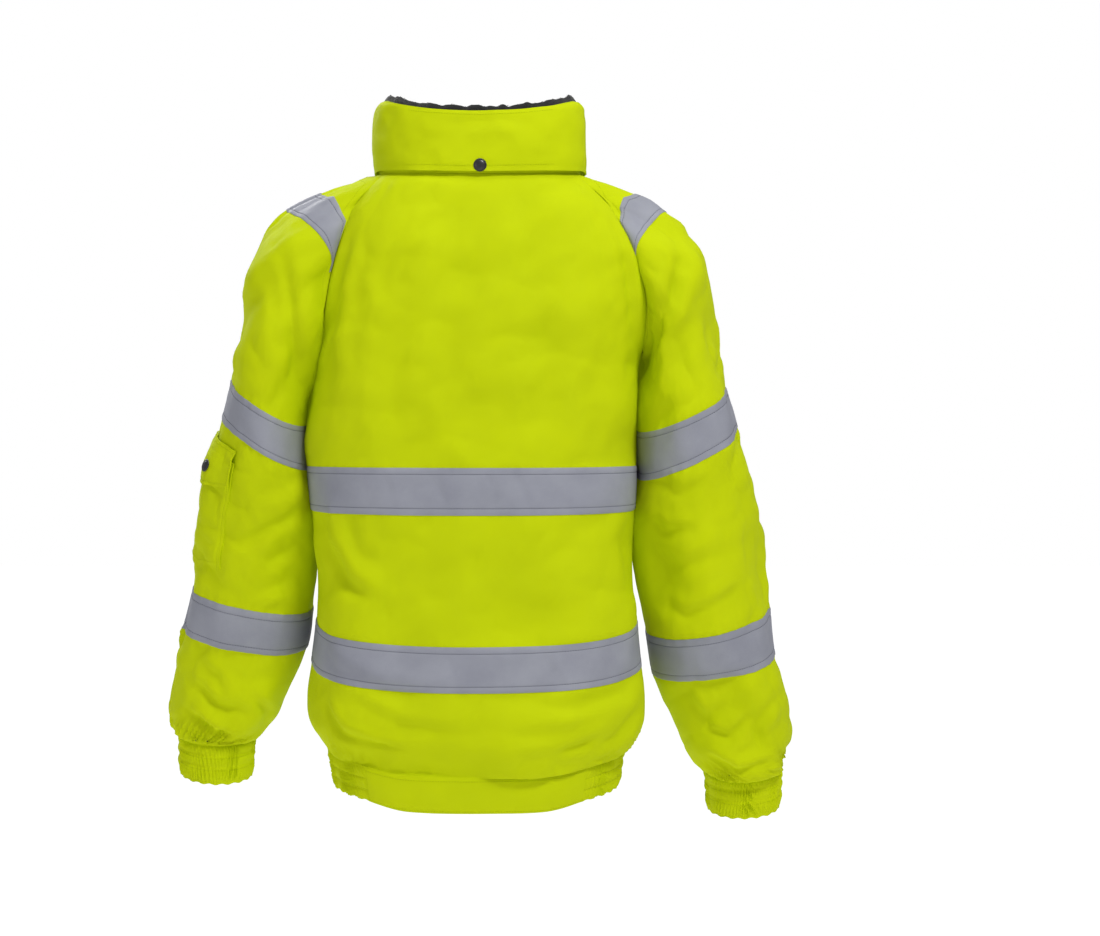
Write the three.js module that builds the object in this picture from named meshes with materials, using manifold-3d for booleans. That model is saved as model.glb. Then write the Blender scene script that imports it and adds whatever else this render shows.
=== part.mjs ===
// Hi-vis bomber jacket for foul weather, as a worn, empty shell.
// Units are millimetres. +Z is up, the front faces -Y and the wearer's left is +X.
// The origin is in the hang loop at the back of the neck.
import * as THREE from "three";
import Module from "manifold-3d";
import { mergeVertices } from "three/addons/utils/BufferGeometryUtils.js";

const wasm = await Module();
wasm.setup();

// ---- Driving dimensions ----
const bodyLength = 707; // side of the neck to the hem at the side seam
const chestHalfWidth = 188; // at the underarm
const chestBackDepth = 130; // body axis to the back at the underarm
const underarmDrop = 207; // side of the neck to the underarm
const neckHalfWidth = 118;
const neckBackDepth = 91;
const raglanNeckInset = 8; // the raglan seams meet the collar this far inside its sides
const frontNeckDrop = 36; // the neck seam at the zip, below its sides
const backNeckDrop = 6;
const zipTopDepth = 97; // body axis to the zip line at the collar's top
const zipBottomDepth = 130; // body axis to the zip line at the hem
const collarBackHeight = 72;
const collarSideHeight = 86;
const collarFrontHeight = 88;
const sleeveReach = { left: 450, right: 490 }; // underarm to the cuff seam
const sleeveEase = 0; // extra width of the whole sleeve
const cuffHeight = 44;
const waistbandHeight = 41;
const shellThickness = 1.2;
const liningThickness = 3.5;
const fleeceThickness = 6;
const elasticThickness = 1.5;
const tapeWidth = 50;
const tapeThickness = 0.7;
const layerGap = 0.4; // between a layer and the one that it lies on
const seamGap = 0.9; // between two edges that are sewn together
const raglanInset = 2.3; // a panel stops this far short of the sleeve's edge
const zipEdge = 9; // zip line to a front edge
const zipTapeWidth = 13;
const chainWidth = 2.4; // one row of teeth
const chainDepth = 2.4;
const chainHalfGap = 0.65;
const sliderClearance = 0.3;
const studDiameter = 15;
const studCapHeight = 2.6;
const studSocketDiameter = 12;
const flapThickness = 1.6;
const pocketHollow = 2.2;
const loopSpan = 56;
const loopWidth = 8;
const loopThickness = 1.4;
const loopBow = 9;

// ---- Worked out from them ----
const raglanNeckHalfWidth = neckHalfWidth - raglanNeckInset;
const bodyRoundness = 2.5; // 2 is an ellipse, more is squarer
const bandDrop = bodyLength - waistbandHeight; // waistband seam
const skirt = bandDrop - underarmDrop; // underarm to the waistband seam
const chestTapeDrop = underarmDrop + 0.279 * skirt;
const hemTapeDrop = underarmDrop + 0.662 * skirt;
const loopDepth = neckBackDepth - shellThickness - 2 * layerGap - fleeceThickness;
const originDepth = loopDepth - loopBow / 2;

// ---- Colours ----
const yellow = { color: 0xc8d908, roughness: 0.62, metalness: 0 };
const greyTape = { color: 0x9698a2, roughness: 0.35, metalness: 0.25 };
const blackFleece = { color: 0x151515, roughness: 0.95, metalness: 0 };
const darkLining = { color: 0x23262b, roughness: 0.8, metalness: 0 };
const darkMetal = { color: 0x3c3c3e, roughness: 0.35, metalness: 0.8 };
const blackZip = { color: 0x1c1c1e, roughness: 0.6, metalness: 0.1 };
const whiteElastic = { color: 0xdadad4, roughness: 0.85, metalness: 0 };

const jacket = new THREE.Group();
const worn = new THREE.Group();
worn.position.set(0, -originDepth, 0);
jacket.add(worn);

function addPiece(name, geometry, look) {
  const mesh = new THREE.Mesh(geometry, new THREE.MeshStandardMaterial(look));
  mesh.name = name;
  worn.add(mesh);
  return mesh;
}

// A hinge line, kept with the model: positive turns "down" towards "out".
function noteHinge(name, point, down, out) {
  const axis = down.clone().cross(out).normalize();
  jacket.userData[name] = { point: point.clone().add(worn.position), axis };
}

// ---- Solids ----
function solidGeometry(positions, triangles) {
  const geometry = new THREE.BufferGeometry();
  geometry.setAttribute("position", new THREE.Float32BufferAttribute(positions, 3));
  geometry.setIndex(triangles);
  return geometry;
}

function toManifold(source) {
  const bare = source.clone();
  bare.deleteAttribute("normal");
  bare.deleteAttribute("uv");
  const merged = mergeVertices(bare, 1e-4);
  const mesh = new wasm.Mesh({
    numProp: 3,
    vertProperties: new Float32Array(merged.attributes.position.array),
    triVerts: new Uint32Array(merged.index.array),
  });
  return new wasm.Manifold(mesh);
}

function fromManifold(solid) {
  const mesh = solid.getMesh();
  return solidGeometry(Array.from(mesh.vertProperties), Array.from(mesh.triVerts));
}

// Cutting along facets can leave slivers under a cubic millimetre, so the largest body is kept.
function cutAway(piece, cutter) {
  const bodies = toManifold(piece).subtract(toManifold(cutter)).decompose();
  bodies.sort((a, b) => b.volume() - a.volume());
  return fromManifold(bodies[0]);
}

const joinTo = (piece, other) => fromManifold(toManifold(piece).add(toManifold(other)));

// A closed sheet between two offsets of a grid of surface samples.
function thickSheet(grid, outerOffset, innerOffset, wraps = false) {
  const rowCount = grid.length;
  const columnCount = grid[0].length;
  const offsetAt = (offset, j, i) => (typeof offset === "function" ? offset(j, i) : offset);
  const positions = [];
  for (const offset of [outerOffset, innerOffset]) {
    grid.forEach((row, j) => row.forEach((sample, i) => {
      const point = sample.point.clone().addScaledVector(sample.normal, offsetAt(offset, j, i));
      positions.push(point.x, point.y, point.z);
    }));
  }
  const half = rowCount * columnCount;
  const index = (side, j, i) => side * half + j * columnCount + (i % columnCount);
  const triangles = [];
  const quad = (a, b, c, d) => triangles.push(a, b, c, a, c, d);
  const spans = wraps ? columnCount : columnCount - 1;
  for (let j = 0; j < rowCount - 1; j += 1) {
    for (let i = 0; i < spans; i += 1) {
      quad(index(0, j, i), index(0, j + 1, i), index(0, j + 1, i + 1), index(0, j, i + 1));
      quad(index(1, j, i), index(1, j, i + 1), index(1, j + 1, i + 1), index(1, j + 1, i));
    }
  }
  for (let i = 0; i < spans; i += 1) {
    const last = rowCount - 1;
    quad(index(0, 0, i), index(0, 0, i + 1), index(1, 0, i + 1), index(1, 0, i));
    quad(index(0, last, i), index(1, last, i), index(1, last, i + 1), index(0, last, i + 1));
  }
  for (let j = 0; !wraps && j < rowCount - 1; j += 1) {
    const last = columnCount - 1;
    quad(index(0, j, 0), index(1, j, 0), index(1, j + 1, 0), index(0, j + 1, 0));
    quad(index(0, j, last), index(0, j + 1, last), index(1, j + 1, last), index(1, j, last));
  }
  return facingOut(solidGeometry(positions, triangles));
}

// Turns a closed geometry's faces round if its volume comes out negative.
function facingOut(geometry) {
  const position = geometry.attributes.position;
  const triangles = geometry.index.array;
  const [a, b, c] = [new THREE.Vector3(), new THREE.Vector3(), new THREE.Vector3()];
  let volume = 0;
  for (let t = 0; t < triangles.length; t += 3) {
    a.fromBufferAttribute(position, triangles[t]);
    b.fromBufferAttribute(position, triangles[t + 1]);
    c.fromBufferAttribute(position, triangles[t + 2]);
    volume += a.dot(b.cross(c));
  }
  if (volume < 0) {
    geometry.setIndex(Array.from(triangles).reverse());
  }
  return geometry;
}

// ---- Numbers ----
function between(knots, at) {
  let k = 1;
  while (k < knots.length - 1 && knots[k][0] < at) k += 1;
  const [from, to] = [knots[k - 1], knots[k]];
  const share = THREE.MathUtils.clamp((at - from[0]) / (to[0] - from[0]), 0, 1);
  return from.slice(1).map((value, n) => THREE.MathUtils.lerp(value, to[n + 1], share));
}

function steps(from, to, count) {
  return Array.from({ length: count + 1 }, (_, k) => from + ((to - from) * k) / count);
}

const signedPower = (value, power) => Math.sign(value) * Math.abs(value) ** power;

// ---- Body surface ----
// Each knot: drop below the side of the neck, half width, back depth, sag at the back.
const yoke = (share) => share * underarmDrop;
const lower = (share) => underarmDrop + share * skirt;
const bodyKnots = [
  [0, neckHalfWidth, neckBackDepth, backNeckDrop],
  [yoke(0.087), chestHalfWidth - 47, 98, 5],
  [yoke(0.184), chestHalfWidth - 28, 104, 4],
  [yoke(0.3), chestHalfWidth - 11, 110, 3],
  [yoke(0.435), chestHalfWidth + 2, 117, 2],
  [yoke(0.59), chestHalfWidth + 7, chestBackDepth - 8, 2],
  [yoke(0.773), chestHalfWidth + 7, chestBackDepth - 3, 2],
  [yoke(0.918), chestHalfWidth + 3, chestBackDepth - 1, 2],
  [underarmDrop, chestHalfWidth, chestBackDepth, 2],
  [lower(0.14), chestHalfWidth - 1, chestBackDepth + 1, 2],
  [chestTapeDrop, chestHalfWidth - 2, chestBackDepth + 1, 3],
  [chestTapeDrop + tapeWidth, chestHalfWidth - 5, chestBackDepth, 6],
  [lower(0.54), chestHalfWidth - 8, chestBackDepth - 1, 17],
  [hemTapeDrop, chestHalfWidth - 5, chestBackDepth, 27],
  [hemTapeDrop + tapeWidth, chestHalfWidth + 2, chestBackDepth + 3, 28],
  [lower(0.86), chestHalfWidth + 8, chestBackDepth + 5, 27],
  [lower(0.915), chestHalfWidth + 6, chestBackDepth + 3, 25],
  [lower(0.963), chestHalfWidth - 6, chestBackDepth - 4, 22],
  [bandDrop, chestHalfWidth - 16, chestBackDepth - 10, 20],
  [bandDrop + waistbandHeight / 2, chestHalfWidth - 20, chestBackDepth - 12, 19],
  [bodyLength, chestHalfWidth - 23, chestBackDepth - 14, 18],
];
// Half width of the back and of the fronts at the raglan seams.
const raglanKnots = [
  [0, raglanNeckHalfWidth],
  [yoke(0.087), chestHalfWidth - 61],
  [yoke(0.184), chestHalfWidth - 43],
  [yoke(0.3), chestHalfWidth - 31],
  [yoke(0.435), chestHalfWidth - 19],
  [yoke(0.59), chestHalfWidth - 9],
  [yoke(0.773), chestHalfWidth - 4],
  [yoke(0.918), chestHalfWidth - 1],
  [underarmDrop, chestHalfWidth],
];
const panelDrops = bodyKnots.map((knot) => knot[0]).filter((drop) => drop <= bandDrop);
const underarmRow = panelDrops.indexOf(underarmDrop);

const zipSlope = (zipBottomDepth - zipTopDepth) / (bodyLength + collarFrontHeight - frontNeckDrop);
const zipTopHeight = collarFrontHeight - frontNeckDrop;
const zipDepthAt = (height) => zipTopDepth + (zipTopHeight - height) * zipSlope;

// Point and normal at x across a face of the body, 1 for the back and -1 for the front.
function bodyAt(face, x, drop) {
  const [halfWidth, backDepth, sag] = between(bodyKnots, drop);
  const [widthBelow, depthBelow] = between(bodyKnots, drop + 1);
  const [widthAbove, depthAbove] = between(bodyKnots, drop - 1);
  const across = Math.min(Math.abs(x) / halfWidth, 1);
  const bulge = (1 - across ** bodyRoundness) ** (1 / bodyRoundness);
  const neckShare = Math.max(0, 1 - drop / (0.5 * underarmDrop));
  const neckCurve = Math.max(0, 1 - (x / raglanNeckHalfWidth) ** 2);
  let height = -drop;
  if (face < 0) height -= frontNeckDrop * neckShare * neckCurve;
  else height -= sag * bulge * (drop < underarmDrop ? neckCurve ** 0.5 : 1);
  const depth = face > 0 ? backDepth : zipDepthAt(height);
  const depthGrowth = face > 0 ? (depthBelow - depthAbove) / 2 : zipSlope;
  const widthGrowth = (widthBelow - widthAbove) / 2;
  const slopeX = signedPower(x / halfWidth, bodyRoundness - 1) / halfWidth;
  const slopeY = (face * bulge ** (bodyRoundness - 1)) / depth;
  const rise = (across ** bodyRoundness * widthGrowth) / halfWidth
    + (bulge ** bodyRoundness * depthGrowth) / depth;
  return {
    point: new THREE.Vector3(x, face * Math.max(bulge * depth, seamGap / 2), height),
    normal: new THREE.Vector3(slopeX, slopeY, rise).normalize(),
  };
}

// A face between two shares of its half width, from row to row.
function bodyGrid(face, columns, drops, inset) {
  const halfWidthAt = (drop) => {
    const raglan = drop <= underarmDrop;
    return (raglan ? between(raglanKnots, drop)[0] - inset : between(bodyKnots, drop)[0]);
  };
  return drops.map((drop) => columns.map((column) => {
    const x = column.edge ? column.edge : Math.sin(column) * halfWidthAt(drop);
    return bodyAt(face, x, drop);
  }));
}

const quarter = Math.PI / 2;
const backColumns = steps(-quarter, quarter, 12);
const frontColumns = (side) => [
  { edge: side * zipEdge },
  ...steps(0.2, quarter, 6).map((angle) => side * angle),
];

function bodyPanels() {
  const backGrid = bodyGrid(1, backColumns, panelDrops, raglanInset);
  addPiece("back_panel", thickSheet(backGrid, 0, -shellThickness), yellow);
  addPiece("back_lining", thickSheet(liningGrid(backGrid), liningOuter, liningInner), darkLining);
  addTapes("back", backGrid);
  for (const [name, side] of [["left", 1], ["right", -1]]) {
    const grid = bodyGrid(-1, frontColumns(side), panelDrops, raglanInset);
    addPiece(`front_panel_${name}`, thickSheet(grid, 0, -shellThickness), yellow);
    const inner = liningGrid(grid.map((row) => row.slice(1)));
    addPiece(`front_lining_${name}`, thickSheet(inner, liningOuter, liningInner), darkLining);
    addTapes(`front_${name}`, grid);
  }
}

function addTapes(name, grid) {
  const outer = layerGap + tapeThickness;
  for (const [place, drop] of [["chest", chestTapeDrop], ["hem", hemTapeDrop]]) {
    const row = panelDrops.indexOf(drop);
    addPiece(`${place}_tape_${name}`, thickSheet(grid.slice(row, row + 2), outer, layerGap), greyTape);
  }
}

const liningOuter = -shellThickness - layerGap;
const liningInner = liningOuter - liningThickness;
const liningInset = 0.9; // how much of the last column a lining leaves free along a raglan seam

function mixSamples(from, to, share) {
  return {
    point: from.point.clone().lerp(to.point, share),
    normal: from.normal.clone().lerp(to.normal, share).normalize(),
  };
}

// A lining follows its panel's facets, short of the raglan seams, the neck and the waistband.
function liningGrid(panelGrid) {
  return panelGrid.slice(1, -1).map((row, k) => {
    const share = k + 1 < underarmRow ? liningInset : 0;
    const last = row.length - 1;
    const trimmed = row.slice();
    trimmed[last] = mixSamples(row[last], row[last - 1], share);
    if (row[0].point.x * row[last].point.x < 0) trimmed[0] = mixSamples(row[0], row[1], share);
    return trimmed;
  });
}

// ---- Waistband ----
const bandEdge = 0.8; // the piece of band shows this far below the seam
function waistband() {
  const drops = [bandDrop + bandEdge, bandDrop + waistbandHeight / 2, bodyLength];
  const sideStart = THREE.MathUtils.degToRad(46);
  const joinAngle = seamGap / chestHalfWidth;
  const back = bodyGrid(1, steps(-sideStart, sideStart, 6), drops, 0);
  addPiece("waistband_back", thickSheet(back, 0, -shellThickness * 2), yellow);
  for (const [name, side] of [["left", 1], ["right", -1]]) {
    const sideGrid = wrapGrid(side, sideStart + joinAngle, Math.PI - 0.7, 8, drops);
    addPiece(`waistband_side_${name}`, thickSheet(sideGrid, 0, -shellThickness), yellow);
    const frontGrid = wrapGrid(side, Math.PI - 0.7 + joinAngle, null, 4, drops);
    addPiece(`waistband_front_${name}`, thickSheet(frontGrid, 0, -shellThickness), yellow);
    const inner = -shellThickness - layerGap;
    const elasticDrops = [bandDrop + 4, bandDrop + waistbandHeight / 2, bodyLength - 4];
    const elasticGrid = wrapGrid(side, sideStart + 3 * joinAngle, Math.PI - 0.72, 8, elasticDrops);
    addPiece(`waist_elastic_${name}`, thickSheet(elasticGrid, inner, inner - elasticThickness), whiteElastic);
  }
}

// Round the side from back to front: 0 is the middle of the back, pi is the zip.
function wrapGrid(side, from, to, count, drops) {
  const angles = steps(from, to ?? Math.PI, count);
  return drops.map((drop) => angles.map((angle, k) => {
    const face = angle <= quarter ? 1 : -1;
    const last = to === null && k === count;
    const x = last ? zipEdge : Math.sin(angle) * between(bodyKnots, drop)[0];
    return bodyAt(face, side * x, drop);
  }));
}

// ---- Collar ----
const collarKnots = [
  [0, neckHalfWidth - 2],
  [0.12, neckHalfWidth],
  [0.27, neckHalfWidth],
  [0.5, neckHalfWidth - 0.5],
  [0.8, neckHalfWidth - 2],
  [0.93, neckHalfWidth - 5],
  [1, neckHalfWidth - 9],
];
const collarShares = collarKnots.map((knot) => knot[0]);

// Round the neck: 0 is the middle of the back and pi is the zip. share is 0 at the seam, 1 at the top.
function collarAt(angle, share) {
  const face = Math.abs(angle) <= quarter ? 1 : -1;
  const sine = Math.sin(angle);
  const bulge = (1 - Math.abs(sine) ** bodyRoundness) ** (1 / bodyRoundness);
  const seamDrop = face > 0 ? backNeckDrop : frontNeckDrop;
  const endHeight = face > 0 ? collarBackHeight : collarFrontHeight;
  const neckCurve = Math.max(0, 1 - ((sine * neckHalfWidth) / raglanNeckHalfWidth) ** 2);
  const base = -seamDrop * (face > 0 ? bulge * neckCurve ** 0.5 : neckCurve) + seamGap;
  const tall = THREE.MathUtils.lerp(collarSideHeight, endHeight, bulge ** 2) - seamGap;
  const height = base + share * tall;
  const [halfWidth] = between(collarKnots, share);
  const backDepth = neckBackDepth - (neckHalfWidth - halfWidth) * 0.6;
  const depth = face > 0 ? backDepth : zipDepthAt(height);
  const point = new THREE.Vector3(sine * halfWidth, face * bulge * depth, height);
  const slopeX = signedPower(sine, bodyRoundness - 1) / halfWidth;
  const slopeY = (face * bulge ** (bodyRoundness - 1)) / depth;
  return { point, normal: new THREE.Vector3(slopeX, slopeY, 0).normalize() };
}

function collarGrid(angles, shares) {
  return shares.map((share) => angles.map((angle) => collarAt(angle, share)));
}

const zipAngle = Math.PI - Math.asin(zipEdge / neckHalfWidth);
const zipTapeAngle = Math.PI - Math.asin((zipEdge + zipTapeWidth) / neckHalfWidth);
const collarColumns = 11; // each side, from the middle of the back
const collarTurns = steps(0, zipTapeAngle, collarColumns);
const bothSides = (angles) => [...angles.slice(1).reverse().map((angle) => -angle), ...angles];
const hoodThickness = 3.4;
const hoodColumns = 5;
const coverColumns = 8;
const coverStand = layerGap + hoodThickness + layerGap; // stand to the cover's inner face

function collar() {
  const ring = bothSides([...collarTurns, zipAngle]);
  addPiece("collar_stand", thickSheet(collarGrid(ring, collarShares), 0, -shellThickness), yellow);
  const fleeceTop = 1.06;
  const fleeceGrid = collarGrid(bothSides(collarTurns), [...collarShares, fleeceTop]);
  const fleeceOuter = -shellThickness - layerGap;
  addPiece("collar_fleece", thickSheet(fleeceGrid, fleeceOuter, fleeceOuter - fleeceThickness), blackFleece);

  const hoodGrid = collarGrid(bothSides(collarTurns.slice(0, hoodColumns + 1)), collarShares.slice(2, 5));
  addPiece("packed_hood", thickSheet(hoodGrid, layerGap + hoodThickness, layerGap), yellow);

  const coverTurns = bothSides(collarTurns.slice(0, coverColumns + 1));
  const coverShares = [0.03, ...collarShares.slice(1, 6)];
  const standAt = (j, i) => {
    const fromEnd = Math.min(i, coverTurns.length - 1 - i) / 2;
    const open = j < coverShares.length - 1 ? 1 : 0;
    return layerGap + (coverStand - layerGap) * Math.min(open, fromEnd);
  };
  const cover = thickSheet(collarGrid(coverTurns, coverShares), (j, i) => standAt(j, i) + flapThickness, standAt);
  addPiece("hood_cover_flap", cover, yellow);
  const fold = collarAt(0, coverShares[coverShares.length - 1]);
  const back = new THREE.Vector3(0, 1, 0);
  noteHinge("hood_cover", fold.point.addScaledVector(back, layerGap), new THREE.Vector3(0, 0, -1), back);
  addStud("collar_stud", collarAt(0, 0.13), layerGap, coverStand, flapThickness);
}

// ---- Press studs ----
// The socket fills the gap between the layer below and the flap; the cap sits on the flap.
function addStud(name, seat, socketBase, flapInner, flapDepth) {
  const socketHeight = flapInner - socketBase - 0.9;
  const socket = studGeometry(studSocketDiameter / 2, socketHeight, 0.25);
  placeAlong(addPiece(`${name}_socket`, socket, darkMetal), seat, socketBase);
  const cap = studGeometry(studDiameter / 2, studCapHeight, 0.75);
  placeAlong(addPiece(`${name}_cap`, cap, darkMetal), seat, flapInner + flapDepth + 0.3);
}

function studGeometry(radius, height, dome) {
  const profile = [new THREE.Vector2(0, 0), new THREE.Vector2(radius, 0)];
  for (const angle of steps(0, quarter, 2)) {
    const rim = radius - height * dome * (1 - Math.cos(angle)) - radius * 0.3 * Math.sin(angle) * dome;
    profile.push(new THREE.Vector2(rim, height * (1 - dome) + height * dome * Math.sin(angle)));
  }
  profile.push(new THREE.Vector2(0, height));
  return new THREE.LatheGeometry(profile, 12);
}

function placeAlong(mesh, seat, offset) {
  mesh.position.copy(seat.point).addScaledVector(seat.normal, offset);
  mesh.quaternion.setFromUnitVectors(new THREE.Vector3(0, 1, 0), seat.normal);
}

// ---- Hang loop ----
function hangLoop() {
  const inside = -shellThickness - layerGap - fleeceThickness;
  const seatAt = (angle) => {
    const sample = collarAt(angle, 0);
    return sample.point.addScaledVector(sample.normal, inside);
  };
  const seats = collarTurns.slice(0, 4).map(seatAt);
  const seatDepth = (reach) => {
    const k = 1 + seats.slice(1, -1).filter((seat) => seat.x < reach).length;
    const [from, to] = [seats[k - 1], seats[k]];
    return THREE.MathUtils.lerp(from.y, to.y, (reach - from.x) / (to.x - from.x));
  };
  const grid = [loopWidth / 2, -loopWidth / 2].map((height) => steps(-loopSpan / 2, loopSpan / 2, 14).map((x) => {
    const reach = Math.min(1, Math.max(0, (loopSpan / 2 - 8 - Math.abs(x)) / 12));
    const bow = layerGap + loopBow * (1 - (1 - reach) ** 2);
    const point = new THREE.Vector3(x, seatDepth(Math.abs(x)) - bow, height);
    return { point, normal: new THREE.Vector3(0, -1, 0) };
  }));
  addPiece("hang_loop", thickSheet(grid, loopThickness, 0), blackZip);
}

// ---- Sleeves ----
// Each ring: inner edge beyond the chest, share of the reach, width, rise of the outer edge,
// centre in depth, half depth, and how far the back of the ring hangs below its middle.
const sleeveRings = [
  [0, 0.02, 34, 172, 0, 86, 2],
  [6, 0.073, 68, 142, 0, 82, 5],
  [13, 0.127, 74, 98, 0, 79, 8],
  [16, 0.178, 84, 51, -2, 77, 12],
  [11, 0.291, 101, 59, -6, 75, 13],
  [2, 0.38, 126, 28, -14, 72, 13],
  [-2, 0.484, 140, 15, -22, 69, 13],
  [5, 0.656, 140, 25, -34, 65, 14],
  [12, 0.758, 140, 19, -43, 62, 14],
  [34, 0.864, 128, 11, -52, 58, 12],
  [50, 0.944, 119, 10, -58, 52, 10],
  [70, 1, 92, 4, -62, 42, 10],
];
const tapeRings = { upper: 4, lower: 8 }; // a tape runs from this ring to the next
const neckTurn = THREE.MathUtils.degToRad(30); // half of the sleeve's neck edge, in its own turn

function raglanPoint(turn) {
  const wrapped = Math.atan2(Math.sin(turn), Math.cos(turn));
  const face = wrapped < 0 ? -1 : 1;
  const size = Math.abs(wrapped);
  const neckEnd = Math.asin(raglanNeckHalfWidth / neckHalfWidth);
  if (size < neckTurn) {
    const angle = quarter - (size / neckTurn) * (quarter - neckEnd);
    return bodyAt(face, Math.sin(angle) * neckHalfWidth, 0).point;
  }
  const drop = (underarmDrop * (size - neckTurn)) / (Math.PI - neckTurn);
  return bodyAt(face, between(raglanKnots, drop)[0], drop).point;
}

function ringPoint(ring, turn, reach) {
  const [inner, share, width, rise, centre, halfDepth, hang] = ring;
  const innerX = chestHalfWidth + inner;
  const innerZ = -underarmDrop - share * reach;
  const out = (1 + Math.cos(turn)) / 2;
  return new THREE.Vector3(
    innerX + out * (width + sleeveEase),
    centre + halfDepth * Math.sin(turn),
    innerZ + out * rise - hang * Math.sin(turn),
  );
}

// Ring number 0 is the raglan seam, and the last one is the cuff seam.
function sleevePoint(turn, along, reach) {
  const last = sleeveRings.length;
  const station = (k) => (k <= 0 ? raglanPoint(turn) : ringPoint(sleeveRings[Math.min(k, last) - 1], turn, reach));
  const k = Math.min(Math.floor(along), last - 1);
  const t = along - k;
  const [before, start, end, after] = [station(k - 1), station(k), station(k + 1), station(k + 2)];
  const startSlope = end.clone().sub(before).multiplyScalar(0.5);
  const endSlope = after.clone().sub(start).multiplyScalar(0.5);
  return start.multiplyScalar(2 * t ** 3 - 3 * t ** 2 + 1)
    .addScaledVector(startSlope, t ** 3 - 2 * t ** 2 + t)
    .addScaledVector(end, 3 * t ** 2 - 2 * t ** 3)
    .addScaledVector(endSlope, t ** 3 - t ** 2);
}

function sleeveAt(side, turn, along, reach) {
  const step = 0.02;
  const last = sleeveRings.length;
  const point = sleevePoint(turn, along, reach);
  const round = sleevePoint(turn + step, along, reach).sub(sleevePoint(turn - step, along, reach));
  const down = sleevePoint(turn, Math.min(along + step, last), reach)
    .sub(sleevePoint(turn, Math.max(along - step, 0), reach));
  const normal = down.cross(round).normalize();
  point.x *= side;
  normal.x *= side;
  return { point, normal };
}

const sleeveTurns = steps(0, 2 * Math.PI, 16).slice(0, -1);
const sleeveStations = [0, 0.25, 0.5, 1, 1.5, 2, 3, 4, 5, 6, 7, 8, 9, 10, 11, 12];

function sleeve(name, side) {
  const reach = sleeveReach[name];
  const grid = sleeveStations.map((along) => sleeveTurns.map((turn) => sleeveAt(side, turn, along, reach)));
  const base = { grid, turns: sleeveTurns, stations: sleeveStations };
  addPiece(`sleeve_${name}`, thickSheet(grid, 0, -shellThickness, true), yellow);
  addPiece(`sleeve_lining_${name}`, thickSheet(grid.slice(1), liningOuter, liningInner, true), darkLining);
  for (const [place, ring] of Object.entries(tapeRings)) {
    const row = sleeveStations.indexOf(ring);
    const strip = thickSheet(grid.slice(row, row + 2), layerGap + tapeThickness, layerGap, true);
    addPiece(`${place}_arm_tape_${name}`, strip, greyTape);
  }
  shoulderTape(name, base);
  cuff(name, side, reach);
  return base;
}

// A sample on the facets of a sleeve.
function onFacets(base, turn, along) {
  const count = base.turns.length;
  const place = ((turn / (2 * Math.PI)) * count + count) % count;
  const i = Math.floor(place);
  let j = 0;
  while (j < base.stations.length - 2 && base.stations[j + 1] <= along) j += 1;
  const down = (along - base.stations[j]) / (base.stations[j + 1] - base.stations[j]);
  const mix = (key) => {
    const upper = base.grid[j][i][key].clone().lerp(base.grid[j][(i + 1) % count][key], place - i);
    const under = base.grid[j + 1][i][key].clone().lerp(base.grid[j + 1][(i + 1) % count][key], place - i);
    return upper.lerp(under, down);
  };
  return { point: mix("point"), normal: mix("normal").normalize() };
}

const clearOf = (piece, base, wraps) => cutAway(piece, thickSheet(base.grid, layerGap, -4, wraps));

// Over the shoulder like a brace, between the two raglan seams.
function shoulderTape(name, base) {
  const innerStart = 0.5;
  const outerStart = 1;
  const innerEnd = THREE.MathUtils.degToRad(71);
  const outerEnd = THREE.MathUtils.degToRad(112);
  const columnTurn = sleeveTurns[1] / 2;
  const columns = Math.floor(outerEnd / columnTurn);
  const turns = steps(-columns * columnTurn, columns * columnTurn, 2 * columns);
  const grid = steps(0, 1, 6).map((share) => turns.map((turn) => {
    const size = Math.abs(turn);
    const inner = Math.max(0.07, innerStart * (1 - (size / innerEnd) ** 1.5));
    const outer = Math.max(0.12, outerStart * (1 - (size / outerEnd) ** 1.5));
    return onFacets(base, turn, inner + share * (outer - inner));
  }));
  const band = thickSheet(grid, layerGap + 2 * tapeThickness, -0.8);
  addPiece(`shoulder_tape_${name}`, clearOf(band, base, true), greyTape);
}

// ---- Cuffs ----
function cuff(name, side, reach) {
  const seam = sleeveRings[sleeveRings.length - 1];
  const cuffRing = (share, narrow) => {
    const ring = seam.slice();
    ring[0] += narrow * 0.6;
    ring[1] += share / reach;
    ring[2] -= narrow;
    ring[5] -= narrow / 4;
    return ring;
  };
  const gridOf = (from, to) => steps(from, to, 2).map((share, k) => sleeveTurns.map((turn) => {
    const ring = cuffRing(share, 2 + 2 * k);
    const point = ringPoint(ring, turn, reach);
    const normal = new THREE.Vector3(Math.cos(turn) / ring[2], Math.sin(turn) / (2 * ring[5]), 0).normalize();
    point.x *= side;
    normal.x *= side;
    return { point, normal };
  }));
  const outer = thickSheet(gridOf(seamGap, cuffHeight), 0, -shellThickness, true);
  addPiece(`cuff_${name}`, outer, yellow);
  const inner = -shellThickness - layerGap;
  const elastic = thickSheet(gridOf(seamGap + 5, cuffHeight - 4), inner, inner - elasticThickness, true);
  addPiece(`cuff_elastic_${name}`, elastic, whiteElastic);
}

// ---- Sleeve pocket, on the wearer's left ----
const pocketTurn = THREE.MathUtils.degToRad(22.5); // its middle, round the sleeve from the outside
const pocketHalfTurn = THREE.MathUtils.degToRad(33.75);
const pocketTop = 5.28; // in sleeve rings
const pocketBottom = 7.6;
const flapHeight = 48;
const flapPoint = 8; // the middle of a flap hangs this far below its corners
const flapSeat = 0.8; // a flap's sewn edge stands this far off

// The gap under a pocket or flap: closed at its edges and widest in its middle.
const domed = (share, base, rise) => base + rise * Math.min(1, 4 * share, 4 * (1 - share));

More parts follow.
